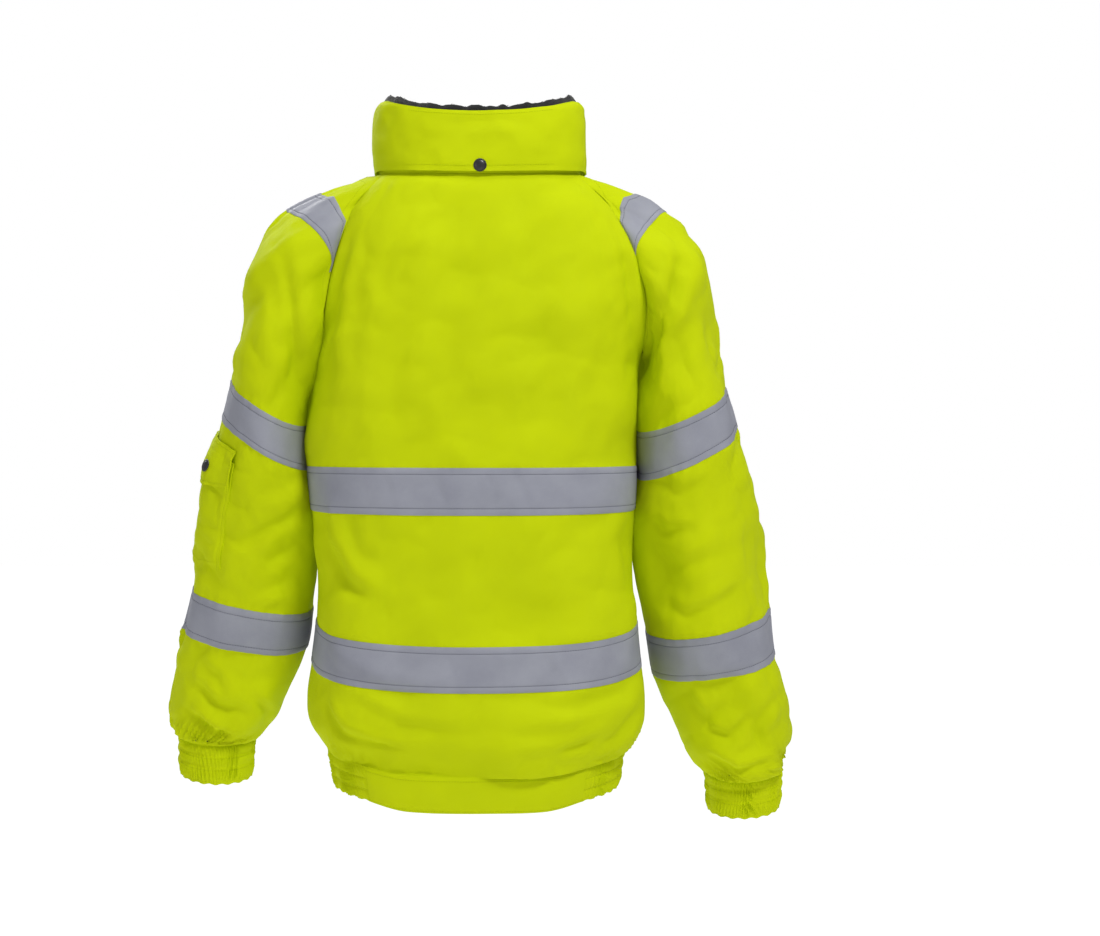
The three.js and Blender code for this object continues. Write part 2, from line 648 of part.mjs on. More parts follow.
function sleevePocket(base) {
  const columns = 6;
  const turns = steps(pocketTurn - pocketHalfTurn, pocketTurn + pocketHalfTurn, columns);
  const edgeShape = (i) => 1 - Math.abs((2 * i) / columns - 1);
  const rows = steps(0, 1, 6);
  const grid = rows.map((share) => turns.map((turn, i) => {
    const bottom = pocketBottom + 0.12 * edgeShape(i);
    return onFacets(base, turn, pocketTop + 0.2 + share * (bottom - pocketTop - 0.2));
  }));
  const rise = (j, i) => domed(i / columns, layerGap, pocketHollow) - (j === rows.length - 1 ? pocketHollow / 2 : 0);
  const pouch = thickSheet(grid, (j, i) => rise(j, i) + shellThickness, (j, i) => rise(j, i) - 1.5);
  addPiece("sleeve_pocket", clearOf(pouch, base, true), yellow);
  const [upper, under] = [5, 6].map((ring) => base.grid[base.stations.indexOf(ring)][1].point);
  const ringLength = upper.distanceTo(under);
  addFlap("sleeve_pocket", (across, down) => {
    const turn = pocketTurn + (2 * across - 1) * pocketHalfTurn;
    return onFacets(base, turn, pocketTop + down / ringLength);
  });
}

// A flap sewn at its top edge; sampleAt(share across, millimetres down) gives the surface under it.
function addFlap(name, sampleAt) {
  const columns = 6;
  const grid = steps(0, 1, 4).map((share) => steps(0, 1, columns).map((across) => {
    const point = flapPoint * (1 - Math.abs(2 * across - 1));
    return sampleAt(across, share * (flapHeight + point));
  }));
  const stud = sampleAt(0.5, flapHeight - 14);
  const innerStand = pocketHollow + shellThickness + layerGap + 2.6;
  const stand = (j) => (j === 0 ? flapSeat : innerStand);
  addPiece(`${name}_flap`, thickSheet(grid, (j) => stand(j) + flapThickness, stand), yellow);
  const socketBase = layerGap + pocketHollow + shellThickness + 0.3;
  addStud(`${name}_stud`, stud, socketBase, innerStand, flapThickness);
  const sewn = sampleAt(0.5, 0);
  const down = sampleAt(0.5, 10).point.sub(sewn.point);
  noteHinge(`${name}_flap`, sewn.point.addScaledVector(sewn.normal, flapSeat), down, sewn.normal);
}

// ---- Front pockets ----
const frontPocketTop = chestTapeDrop + tapeWidth + 12;
const frontPocketHeight = 84;
const frontPocketFrom = 0.3; // as shares of the front, from the zip to the side seam
const frontPocketTo = 0.72;

function frontPocket(name, side) {
  const columns = 6;
  const sampleAt = (across, down) => {
    const share = frontPocketFrom + across * (frontPocketTo - frontPocketFrom);
    const drop = frontPocketTop + down;
    return bodyAt(-1, side * share * chestHalfWidth, drop);
  };
  const rows = steps(0, 1, 5);
  const grid = rows.map((share) => steps(0, 1, columns).map((across) => sampleAt(across, 16 + share * frontPocketHeight)));
  const rise = (j, i) => domed(i / columns, 1, pocketHollow - 0.6) - (j === rows.length - 1 ? 0.4 : 0);
  const pouch = thickSheet(grid, (j, i) => rise(j, i) + shellThickness, rise);
  addPiece(`front_pocket_${name}`, pouch, yellow);
  addFlap(`front_pocket_${name}`, sampleAt);
}

// ---- Zip ----
// The zip's own frame: x across, y out of the front and z up along the teeth.
const zipTilt = Math.atan(zipSlope);
const zipBottomHeight = -bodyLength;
const chainTop = zipTopHeight - 6;
const chainBottom = zipBottomHeight + 12;
const zipTapeThickness = 0.8;
const zipTapeOuter = -shellThickness - 2 * layerGap;
const chainCentre = zipTapeOuter - zipTapeThickness / 2;

function onZip(mesh, height, stand = 0) {
  mesh.rotation.set(-zipTilt, 0, 0);
  mesh.position.set(0, -zipDepthAt(height) - stand * Math.cos(zipTilt), height + stand * Math.sin(zipTilt));
  return mesh;
}

function zip() {
  const tapeStart = chainHalfGap + chainWidth + 0.3;
  const chainLength = (chainTop - chainBottom) / Math.cos(zipTilt);
  const middle = (chainTop + chainBottom) / 2;
  for (const [name, side] of [["left", 1], ["right", -1]]) {
    const grid = steps(chainTop, chainBottom, 8).map((height) => [tapeStart, tapeStart + zipTapeWidth].map((x) => ({
      point: new THREE.Vector3(side * x, -zipDepthAt(height), height),
      normal: new THREE.Vector3(0, -1, zipSlope).normalize(),
    })));
    addPiece(`zip_tape_${name}`, thickSheet(grid, zipTapeOuter, zipTapeOuter - zipTapeThickness), blackZip);
    const chain = new THREE.BoxGeometry(chainWidth, chainDepth, chainLength);
    chain.translate(side * (chainHalfGap + chainWidth / 2), -chainCentre, 0);
    onZip(addPiece(`zip_teeth_${name}`, chain, darkMetal), middle);
  }
  const box = new THREE.BoxGeometry(2 * tapeStart, chainDepth + 1.2, 8);
  box.translate(0, -chainCentre, 0);
  onZip(addPiece("zip_bottom_box", box, darkMetal), chainBottom - 4 - 0.4);
  slider();
}

const sliderHalfWidth = 5.5;
const sliderHeight = 15;
const plateThickness = 1.2;
const bridgeHeight = 4.4;
const pullBarRadius = 0.8;
const pullBarStand = 1.9; // the pull's bar above the slider's front plate
const pullLength = 30;

function slider() {
  const reach = chainDepth / 2 + sliderClearance;
  const web = chainHalfGap - sliderClearance;
  const outline = new THREE.Shape();
  const outside = reach + plateThickness;
  outline.moveTo(-sliderHalfWidth, reach).lineTo(-web, reach).lineTo(-web, -reach);
  outline.lineTo(-sliderHalfWidth, -reach).lineTo(-sliderHalfWidth, -outside).lineTo(sliderHalfWidth, -outside);
  outline.lineTo(sliderHalfWidth, -reach).lineTo(web, -reach).lineTo(web, reach);
  outline.lineTo(sliderHalfWidth, reach).lineTo(sliderHalfWidth, outside).lineTo(-sliderHalfWidth, outside);
  const channel = new THREE.ExtrudeGeometry(outline, { depth: sliderHeight, bevelEnabled: false });
  channel.translate(0, -chainCentre, -sliderHeight / 2);
  const frontFace = -chainCentre - outside;

  const arch = new THREE.Shape();
  arch.moveTo(-5.5, -0.2).lineTo(-4.5, bridgeHeight).lineTo(4.5, bridgeHeight).lineTo(5.5, -0.2);
  const hole = new THREE.Path();
  hole.moveTo(-3.6, 0.5).lineTo(3.6, 0.5).lineTo(3.2, bridgeHeight - 1.2).lineTo(-3.2, bridgeHeight - 1.2);
  arch.holes.push(hole);
  const bridge = new THREE.ExtrudeGeometry(arch, { depth: 2, bevelEnabled: false });
  const [right, out, along] = [new THREE.Vector3(1, 0, 0), new THREE.Vector3(0, -1, 0), new THREE.Vector3(0, 0, 1)];
  bridge.translate(0, 0, -1).applyMatrix4(new THREE.Matrix4().makeBasis(along, out, right));
  bridge.translate(0, frontFace, 0);
  const rest = chainTop - sliderHeight / 2;
  onZip(addPiece("zip_slider", joinTo(channel, bridge), darkMetal), rest);

  const pull = pullGeometry();
  const pullStand = -frontFace + pullBarStand;
  onZip(addPiece("zip_pull", pull, blackZip), rest, pullStand);
  const bar = worn.getObjectByName("zip_pull").position;
  noteHinge("zip_pull", bar, new THREE.Vector3(0, 0, -1), new THREE.Vector3(0, -1, 0));
}

// The pull hangs from its top bar, which runs through the slider's bridge along x.
function pullGeometry() {
  const outline = new THREE.Shape();
  outline.moveTo(-3.4, pullBarRadius).lineTo(3.4, pullBarRadius).lineTo(4, -pullLength).lineTo(-4, -pullLength);
  const eye = new THREE.Path();
  eye.moveTo(-2, -pullBarRadius).lineTo(-2, -9).lineTo(2, -9).lineTo(2, -pullBarRadius);
  outline.holes.push(eye);
  const plate = new THREE.ExtrudeGeometry(outline, { depth: 2 * pullBarRadius, bevelEnabled: false });
  plate.translate(0, 0, -pullBarRadius).rotateX(quarter);
  return plate;
}

// ---- Inner wind placket, behind the zip ----
const placketSewnEdge = 24;
const placketFreeEdge = -32;
const placketThickness = 1;
const placketOuter = liningInner - 2 * layerGap;

function windPlacket() {
  const columns = steps(placketSewnEdge, placketFreeEdge, 4);
  const drops = steps(underarmDrop * 0.45, bandDrop - 14, 8);
  const grid = drops.map((drop) => columns.map((x) => ({
    point: new THREE.Vector3(x, -zipDepthAt(-drop), -drop),
    normal: new THREE.Vector3(0, -1, zipSlope).normalize(),
  })));
  addPiece("wind_placket", thickSheet(grid, placketOuter, placketOuter - placketThickness), darkLining);
  const sewn = grid[0][0].point.clone().addScaledVector(grid[0][0].normal, placketOuter);
  const zipDown = new THREE.Vector3(0, -zipSlope, -1).normalize();
  const inward = new THREE.Vector3(0, 1, -zipSlope).normalize();
  noteHinge("wind_placket", sewn, new THREE.Vector3(-1, 0, 0), inward);
  jacket.userData.zip_slide = { axis: zipDown, travel: (chainTop - chainBottom - sliderHeight) / Math.cos(zipTilt) };
}

bodyPanels();
waistband();
collar();
hangLoop();
sleevePocket(sleeve("left", 1));
sleeve("right", -1);
frontPocket("left", 1);
frontPocket("right", -1);
zip();
windPlacket();

export default jacket;
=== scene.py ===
# Hi-vis bomber jacket: cloth, tapes, trims and studio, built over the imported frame.
import math
import bpy
import numpy as np
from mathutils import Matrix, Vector


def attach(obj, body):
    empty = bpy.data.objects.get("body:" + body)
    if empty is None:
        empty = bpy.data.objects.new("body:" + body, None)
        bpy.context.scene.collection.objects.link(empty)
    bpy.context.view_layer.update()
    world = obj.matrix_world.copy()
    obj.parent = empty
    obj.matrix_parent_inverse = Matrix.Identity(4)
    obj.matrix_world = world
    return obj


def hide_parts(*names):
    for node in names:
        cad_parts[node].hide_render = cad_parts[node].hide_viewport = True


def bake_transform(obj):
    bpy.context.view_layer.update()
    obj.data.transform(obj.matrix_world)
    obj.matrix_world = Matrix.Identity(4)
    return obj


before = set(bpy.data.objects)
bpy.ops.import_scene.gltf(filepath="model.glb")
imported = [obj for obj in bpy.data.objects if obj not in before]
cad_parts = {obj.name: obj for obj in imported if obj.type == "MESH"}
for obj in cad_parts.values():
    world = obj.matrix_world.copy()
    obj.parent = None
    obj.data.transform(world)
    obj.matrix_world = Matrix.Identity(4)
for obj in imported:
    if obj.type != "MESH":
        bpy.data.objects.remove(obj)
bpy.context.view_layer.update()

cut = {  # millimetres, as the frame is cut
    "bodyLength": 707, "chestHalfWidth": 188, "chestBackDepth": 130, "underarmDrop": 207,
    "neckHalfWidth": 118, "neckBackDepth": 91, "raglanNeck": 110, "frontNeckDrop": 36,
    "backNeckDrop": 6, "zipTopDepth": 97, "zipBottomDepth": 130, "collarBack": 72,
    "collarSide": 86, "collarFront": 88, "cuffHeight": 44, "bandHeight": 41,
    "tapeWidth": 50, "roundness": 2.5, "originDepth": 78.5, "zipEdge": 9,
    "reach": {"left": 450, "right": 490},
}
bandDrop = cut["bodyLength"] - cut["bandHeight"]
skirt = bandDrop - cut["underarmDrop"]
chestTapeDrop = cut["underarmDrop"] + 0.279 * skirt
hemTapeDrop = cut["underarmDrop"] + 0.662 * skirt
zipTopHeight = cut["collarFront"] - cut["frontNeckDrop"]
zipSlope = (cut["zipBottomDepth"] - cut["zipTopDepth"]) / (cut["bodyLength"] + zipTopHeight)
sides = {"left": 1, "right": -1}
quarter = math.pi / 2


def alongKnots(knots, at):  # a smooth line through knots, one row of values for each column
    table = np.array(knots, float)
    stops, values = table[:, 0], table[:, 1:]
    slopes = np.gradient(values, stops, axis=0)
    at = np.clip(np.asarray(at, float), stops[0], stops[-1])
    k = np.clip(np.searchsorted(stops, at) - 1, 0, len(stops) - 2)
    span = (stops[k + 1] - stops[k])[..., None]
    t = (at - stops[k])[..., None] / span
    mixed = (2 * t**3 - 3 * t**2 + 1) * values[k] + (t**3 - 2 * t**2 + t) * span * slopes[k]
    mixed = mixed + (3 * t**2 - 2 * t**3) * values[k + 1] + (t**3 - t**2) * span * slopes[k + 1]
    return np.moveaxis(mixed, -1, 0)


def ramp(value, low, high):  # 0 below low, 1 above high, smooth between
    t = np.clip((np.asarray(value, float) - low) / (high - low), 0, 1)
    return t * t * (3 - 2 * t)


def waves(x, y, size, seed):  # soft seeded noise, about -1 to 1
    table = np.random.default_rng(seed).uniform(-1, 1, (64, 64))
    x, y = np.asarray(x, float) / size + 31.7, np.asarray(y, float) / size + 17.3
    ix, iy = np.floor(x).astype(int), np.floor(y).astype(int)
    fx, fy = x - ix, y - iy
    fx, fy = fx**3 * (fx * (6 * fx - 15) + 10), fy**3 * (fy * (6 * fy - 15) + 10)
    near = table[ix % 64, iy % 64] * (1 - fx) + table[(ix + 1) % 64, iy % 64] * fx
    far = table[ix % 64, (iy + 1) % 64] * (1 - fx) + table[(ix + 1) % 64, (iy + 1) % 64] * fx
    return 1.4 * (near * (1 - fy) + far * fy)


def pleats(arc, up, size, seed):  # rounded ridges across arc, wandering as they go up
    wander = waves(arc, up * 0.6, 34, seed) * size * 0.55 + waves(arc, up, 90, seed + 1) * size
    wave = np.sin((arc + wander) * 2 * math.pi / size)
    height = 0.65 + 0.5 * waves(arc, up * 0.5, size * 1.7, seed + 2)
    return (1 - 1.9 * np.abs(wave) ** 1.2 + 0.35) * 0.5 * height


def foldAlong(x, z, path, width, depth):  # a crease with a ridge beside it, along a path
    path = np.array(path, float)
    best = np.full(np.shape(x), 1e9)
    across = np.zeros(np.shape(x))
    along = np.zeros(np.shape(x))
    lengths = np.linalg.norm(np.diff(path, axis=0), axis=1)
    total, gone = lengths.sum(), 0
    for start, end, length in zip(path[:-1], path[1:], lengths):
        way = (end - start) / length
        t = np.clip((x - start[0]) * way[0] + (z - start[1]) * way[1], 0, length)
        dx, dz = x - start[0] - t * way[0], z - start[1] - t * way[1]
        distance = np.hypot(dx, dz)
        nearer = distance < best
        best = np.where(nearer, distance, best)
        across = np.where(nearer, dx * way[1] - dz * way[0], across)
        along = np.where(nearer, (gone + t) / total, along)
        gone += length
    fade = np.sin(np.clip(along, 0.03, 0.97) * math.pi) ** 0.8
    valley = np.exp(-((best / width) ** 2))
    ridge = np.exp(-(((across - 1.9 * width) / (1.3 * width)) ** 2)) * np.exp(-((best / (3.6 * width)) ** 2))
    return depth * fade * (0.75 * ridge - valley)


def stepsBetween(start, end, count):  # even steps, closer together at both ends
    steps = np.linspace(start, end, count + 1)
    step = steps[1] - steps[0]
    near = np.array([0.3, 0.65]) * step
    return np.concatenate([[start], start + near, steps[1:-1], end - near[::-1], [end]])


def yoke(share):
    return share * cut["underarmDrop"]


def lower(share):
    return cut["underarmDrop"] + share * skirt


chest, deep = cut["chestHalfWidth"], cut["chestBackDepth"]
bodyKnots = [  # drop, half width, back depth, sag at the back
    [0, cut["neckHalfWidth"], cut["neckBackDepth"], cut["backNeckDrop"]],
    [yoke(0.087), chest - 47, 98, 5], [yoke(0.184), chest - 28, 104, 4],
    [yoke(0.3), chest - 11, 110, 3], [yoke(0.435), chest + 2, 117, 2],
    [yoke(0.59), chest + 7, deep - 8, 2], [yoke(0.773), chest + 7, deep - 3, 2],
    [yoke(0.918), chest + 3, deep - 1, 2], [cut["underarmDrop"], chest, deep, 2],
    [lower(0.14), chest - 1, deep + 1, 2], [chestTapeDrop, chest - 2, deep + 1, 3],
    [chestTapeDrop + cut["tapeWidth"], chest - 5, deep, 6], [lower(0.54), chest - 8, deep - 1, 17],
    [hemTapeDrop, chest - 5, deep, 27], [hemTapeDrop + cut["tapeWidth"], chest + 2, deep + 3, 28],
    [lower(0.86), chest + 8, deep + 5, 27], [lower(0.915), chest + 6, deep + 3, 25],
    [lower(0.963), chest - 6, deep - 4, 22], [bandDrop, chest - 16, deep - 10, 20],
    [bandDrop + 20.5, chest - 20, deep - 12, 19], [cut["bodyLength"], chest - 23, deep - 14, 18],
]
raglanKnots = [
    [0, cut["raglanNeck"]], [yoke(0.087), chest - 61], [yoke(0.184), chest - 43],
    [yoke(0.3), chest - 31], [yoke(0.435), chest - 19], [yoke(0.59), chest - 9],
    [yoke(0.773), chest - 4], [yoke(0.918), chest - 1], [cut["underarmDrop"], chest],
]


def zipDepthAt(height):
    return cut["zipTopDepth"] + (zipTopHeight - height) * zipSlope


leanKnots = [  # drop, how far the worn body leans to its left, how much wider it settles
    [0, 0, 0], [35, -2, 0], [84, -6, 0], [125, -8, 0], [180, -3, 0], [220, 4, 2], [270, 9, 5],
    [340, 9, 5], [400, 7, 4], [450, 6, 3], [510, 5, 2], [600, 5, 0], [707, 4, 0],
]


def bodyPoint(face, x, drop):  # face is 1 at the back and -1 at the front
    face, x, drop = np.broadcast_arrays(np.asarray(face, float), x, drop)
    halfWidth, backDepth, sag = alongKnots(bodyKnots, drop)
    lean, ease = alongKnots(leanKnots, drop)
    across = np.minimum(np.abs(x) / halfWidth, 1)
    bulge = (1 - across ** cut["roundness"]) ** (1 / cut["roundness"])
    neckShare = np.maximum(0, 1 - drop / (0.5 * cut["underarmDrop"]))
    neckCurve = np.maximum(0, 1 - (x / cut["raglanNeck"]) ** 2)
    below = ramp(drop, 0.5 * cut["underarmDrop"], cut["underarmDrop"])
    sagShare = np.sqrt(neckCurve) * (1 - below) + below
    fall = np.where(face < 0, cut["frontNeckDrop"] * neckShare * neckCurve, sag * bulge * sagShare)
    lifted = 9 * ramp(drop, 610, 700) * ramp(across, np.where(face < 0, 0.8, 0.45), np.where(face < 0, 1.0, 0.85))
    height = -drop - fall + lifted
    depth = np.where(face < 0, zipDepthAt(height), backDepth)
    aside = across * across
    moved = x + lean * np.where(face < 0, aside, 1) + np.sign(x) * ease * aside
    return np.stack([moved, face * np.maximum(bulge * depth, 0.3), height], -1)


def halfWidthAt(drop):
    raglan = alongKnots(raglanKnots, drop)[0]
    return np.where(drop <= cut["underarmDrop"], raglan, alongKnots(bodyKnots, drop)[0])


collarKnots = [[0, 116], [0.12, 118], [0.27, 118], [0.5, 117.5], [0.8, 116.5], [0.93, 115], [1, 112.5], [1.08, 106]]


def collarPoint(angle, share):  # 0 is the middle of the back and pi is the zip
    angle, share = np.broadcast_arrays(np.asarray(angle, float), share)
    face = np.where(np.abs(angle) <= quarter, 1.0, -1.0)
    sine = np.sin(angle)
    bulge = (1 - np.abs(sine) ** cut["roundness"]) ** (1 / cut["roundness"])
    neckCurve = np.maximum(0, 1 - (sine * cut["neckHalfWidth"] / cut["raglanNeck"]) ** 2)
    back = face > 0
    base = 0.9 - np.where(back, cut["backNeckDrop"] * bulge * np.sqrt(neckCurve), cut["frontNeckDrop"] * neckCurve)
    tall = cut["collarSide"] + (np.where(back, cut["collarBack"], cut["collarFront"]) - cut["collarSide"]) * bulge**2
    height = base + share * (tall - 0.9)
    halfWidth = alongKnots(collarKnots, share)[0]
    backDepth = cut["neckBackDepth"] - (cut["neckHalfWidth"] - halfWidth) * 0.6
    depth = np.where(back, backDepth, zipDepthAt(height))
    return np.stack([sine * halfWidth, face * bulge * depth, height], -1)


sleeveRings = np.array([  # inner edge, share of reach, width, rise, centre, half depth, hang
    [0, 0.02, 34, 172, 0, 86, 2], [6, 0.073, 68, 142, 0, 82, 5], [13, 0.127, 74, 98, 0, 79, 8],
    [16, 0.178, 84, 51, -2, 77, 12], [11, 0.291, 101, 59, -6, 75, 13], [2, 0.38, 126, 28, -14, 72, 13],
    [-2, 0.484, 140, 15, -22, 69, 13], [5, 0.656, 140, 25, -34, 65, 14], [12, 0.758, 140, 19, -43, 62, 14],
    [34, 0.864, 128, 11, -52, 58, 12], [50, 0.944, 119, 10, -58, 52, 10], [70, 1, 92, 4, -62, 42, 10],
], float)
neckTurn = math.radians(30)


def raglanPoint(turn, side):
    wrapped = np.arctan2(np.sin(turn), np.cos(turn))
    face = np.where(wrapped < 0, -1.0, 1.0)
    size = np.abs(wrapped)
    neckEnd = math.asin(cut["raglanNeck"] / cut["neckHalfWidth"])
    angle = quarter - np.minimum(size / neckTurn, 1) * (quarter - neckEnd)
    drop = np.maximum(0, cut["underarmDrop"] * (size - neckTurn) / (math.pi - neckTurn))
    x = np.where(size < neckTurn, np.sin(angle) * cut["neckHalfWidth"], alongKnots(raglanKnots, drop)[0])
    return bodyPoint(face, side * x, drop) * np.array([side, 1, 1])


def ringPoint(ring, turn, reach):  # ring is an array of the seven values
    out = (1 + np.cos(turn)) / 2
    return np.stack([
        chest + ring[0] + out * ring[2],
        ring[4] + ring[5] * np.sin(turn),
        -cut["underarmDrop"] - ring[1] * reach + out * ring[3] - ring[6] * np.sin(turn),
    ], -1)


sleeveHang = {  # ring, outward swing, narrower outside, closer to the body
    1: [[0, 0, 0, 0], [3, 0, 0, 0], [6, 1, 0, 1], [7, 3, 0, 1], [9, 4, 0, 1], [11, 5, 0, 0], [12, 8, 0, 0]],
    -1: [[0, 0, 0, 0], [1, 0, 5, 0], [2, 0, 7, 11], [3, 0, 6, 19], [4, 0, 1, 21], [5, 2, 0, 19], [6, 4, 0, 20],
         [7, 5, 0, 9], [8, 5, 0, 2], [10, 5, 0, 0], [11, 6, 0, 0], [12, 8, 0, 0]],
}


def sleeveGrid(side, turns, alongs, reach):  # ring 0 is the raglan seam and 12 the cuff seam
    last = len(sleeveRings)
    stations = [raglanPoint(turns, side)] + [ringPoint(ring, turns, reach) for ring in sleeveRings]
    rows = []
    for along in alongs:
        k = min(int(along), last - 1)
        t = along - k
        before, start, end = stations[max(k - 1, 0)], stations[k], stations[k + 1]
        after = stations[min(k + 2, last)]
        rows.append(start * (2 * t**3 - 3 * t**2 + 1) + (end - before) * 0.5 * (t**3 - 2 * t**2 + t)
                    + end * (3 * t**2 - 2 * t**3) + (after - start) * 0.5 * (t**3 - t**2))
    points = np.array(rows)
    outward, inward = (1 + np.cos(turns)) / 2, (1 - np.cos(turns)) / 2
    spread, pinch, close = (v[:, None] for v in alongKnots(sleeveHang[side], alongs))
    points[..., 0] += spread - pinch * outward - close * inward**1.5
    points[..., 0] *= side
    return points


def gridNormals(points, hub, wraps=False):
    down = np.gradient(points, axis=0)
    across = (np.roll(points, -1, 1) - np.roll(points, 1, 1)) / 2 if wraps else np.gradient(points, axis=1)
    normals = np.cross(down, across)
    normals /= np.maximum(np.linalg.norm(normals, axis=-1, keepdims=True), 1e-9)
    return normals if np.sum(normals * (points - hub)) > 0 else -normals


def bodyHub(points):
    return points * np.array([0, 0, 1.0])


def rowHub(points):
    return points.mean(axis=1, keepdims=True)


def gridLengths(points, wraps=False):  # arc across from the middle, arc down from the top
    around = np.concatenate([points, points[:, :1]], 1) if wraps else points
    across = np.concatenate([np.zeros_like(around[:, :1, 0]),
                             np.cumsum(np.linalg.norm(np.diff(around, axis=1), axis=-1), 1)], 1)
    across = across - across[:, -1:] / 2
    down = np.concatenate([np.zeros_like(points[:1, :, 0]),
                           np.cumsum(np.linalg.norm(np.diff(points, axis=0), axis=-1), 0)], 0)
    return across, down


def toFrame(points):  # jacket millimetres to the frame's metres
    return (np.asarray(points, float) - np.array([0, cut["originDepth"], 0])) / 1000


def newPiece(name, vertices, faces, uvs=None, sharp=48):
    mesh = bpy.data.meshes.new(name)
    mesh.from_pydata(np.asarray(vertices).tolist(), [], faces if isinstance(faces, list) else faces.tolist())
    if uvs is not None:
        layer = mesh.uv_layers.new(name="clothMap")
        layer.data.foreach_set("uv", np.asarray(uvs, np.float32).ravel())
    mesh.shade_smooth()
    mesh.set_sharp_from_angle(angle=math.radians(sharp))
    piece = bpy.data.objects.new(name, mesh)
    bpy.context.scene.collection.objects.link(piece)
    return piece


def thickSheet(name, points, normals, outer, inner, wraps=False):
    rows, columns = points.shape[:2]
    offsets = [np.broadcast_to(np.asarray(o, float), (rows, columns))[..., None] for o in (outer, inner)]
    vertices = np.concatenate([(points + normals * o).reshape(-1, 3) for o in offsets])
    across, down = gridLengths(points, wraps)
    if wraps:
        down = np.concatenate([down, down[:, :1]], 1)
    spans = columns if wraps else columns - 1
    j, i = (a.ravel() for a in np.meshgrid(np.arange(rows - 1), np.arange(spans), indexing="ij"))
    half = rows * columns
    quads, maps = [], []

    def addQuads(corners):  # corners are (side, row, column) for each corner
        quads.append(np.stack([s * half + r * columns + c % columns for s, r, c in corners], 1))
        maps.append(np.stack([np.stack([across[r, c], down[r, c]], -1) for s, r, c in corners], 1))

    addQuads([(0, j, i), (0, j + 1, i), (0, j + 1, i + 1), (0, j, i + 1)])
    addQuads([(1, j, i), (1, j, i + 1), (1, j + 1, i + 1), (1, j + 1, i)])
    top = np.arange(spans)
    first, last = np.zeros_like(top), np.full_like(top, rows - 1)
    addQuads([(0, first, top), (0, first, top + 1), (1, first, top + 1), (1, first, top)])
    addQuads([(0, last, top), (1, last, top), (1, last, top + 1), (0, last, top + 1)])
    if not wraps:
        side = np.arange(rows - 1)
        left, right = np.zeros_like(side), np.full_like(side, columns - 1)
        addQuads([(0, side, left), (1, side, left), (1, side + 1, left), (0, side + 1, left)])
        addQuads([(0, side, right), (0, side + 1, right), (1, side + 1, right), (1, side, right)])
    quads, maps = np.concatenate(quads), np.concatenate(maps)
    a, b, c, d = (vertices[quads[:, n]] for n in range(4))
    if np.einsum("ij,ij->i", a, np.cross(b, c) + np.cross(c, d)).sum() < 0:
        quads, maps = quads[:, ::-1], maps[:, ::-1]
    return newPiece(name, toFrame(vertices), quads, maps)


def seat(piece, body, slotName, material, *nodes):
    piece.data.materials.append(material)
    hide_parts(*nodes)
    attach(piece, body)
    return piece


def addCloth(node, kind, slotName, material, grid, normals, outer, inner, wraps=False):
    piece = thickSheet(f"{node}_{kind}", grid, normals, outer, inner, wraps)
    seat(piece, "jacket", slotName, material, node)


def bendOpen(flap, node):  # a flap's cloth given the yellow finish, its frame part hidden and its place baked in
    flap.data.materials.append(yellow)
    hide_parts(node)
    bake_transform(flap)


foldSettings = {
    "drape": 5.2, "billow": 2.4, "rumple": 0.55, "gatherDepth": 7.0, "gatherSize": 23,
    "seamDip": 1.3, "seamReach": 3.2, "puckerDepth": 0.35, "puckerSize": 13,
}


def crinkles(x, y, size, seed):  # broad puffs with narrow valleys between them
    return 1.2 * np.abs(waves(x, y, size, seed)) ** 0.55 + 0.5 * np.abs(waves(y, x, size * 0.45, seed + 1)) ** 0.7 - 0.9


def tapeEdges(drop):  # 1 on the seams of the tapes, 0 away from them
    near = np.zeros(np.shape(drop))
    for top in (chestTapeDrop, hemTapeDrop):
        for edge in (top, top + cut["tapeWidth"]):
            near = np.maximum(near, np.exp(-(((drop - edge) / 7) ** 2)))
    return near


def onTapes(drop):
    return sum(ramp(drop, t - 3, t + 3) * (1 - ramp(drop, t + 47, t + 53)) for t in (chestTapeDrop, hemTapeDrop))


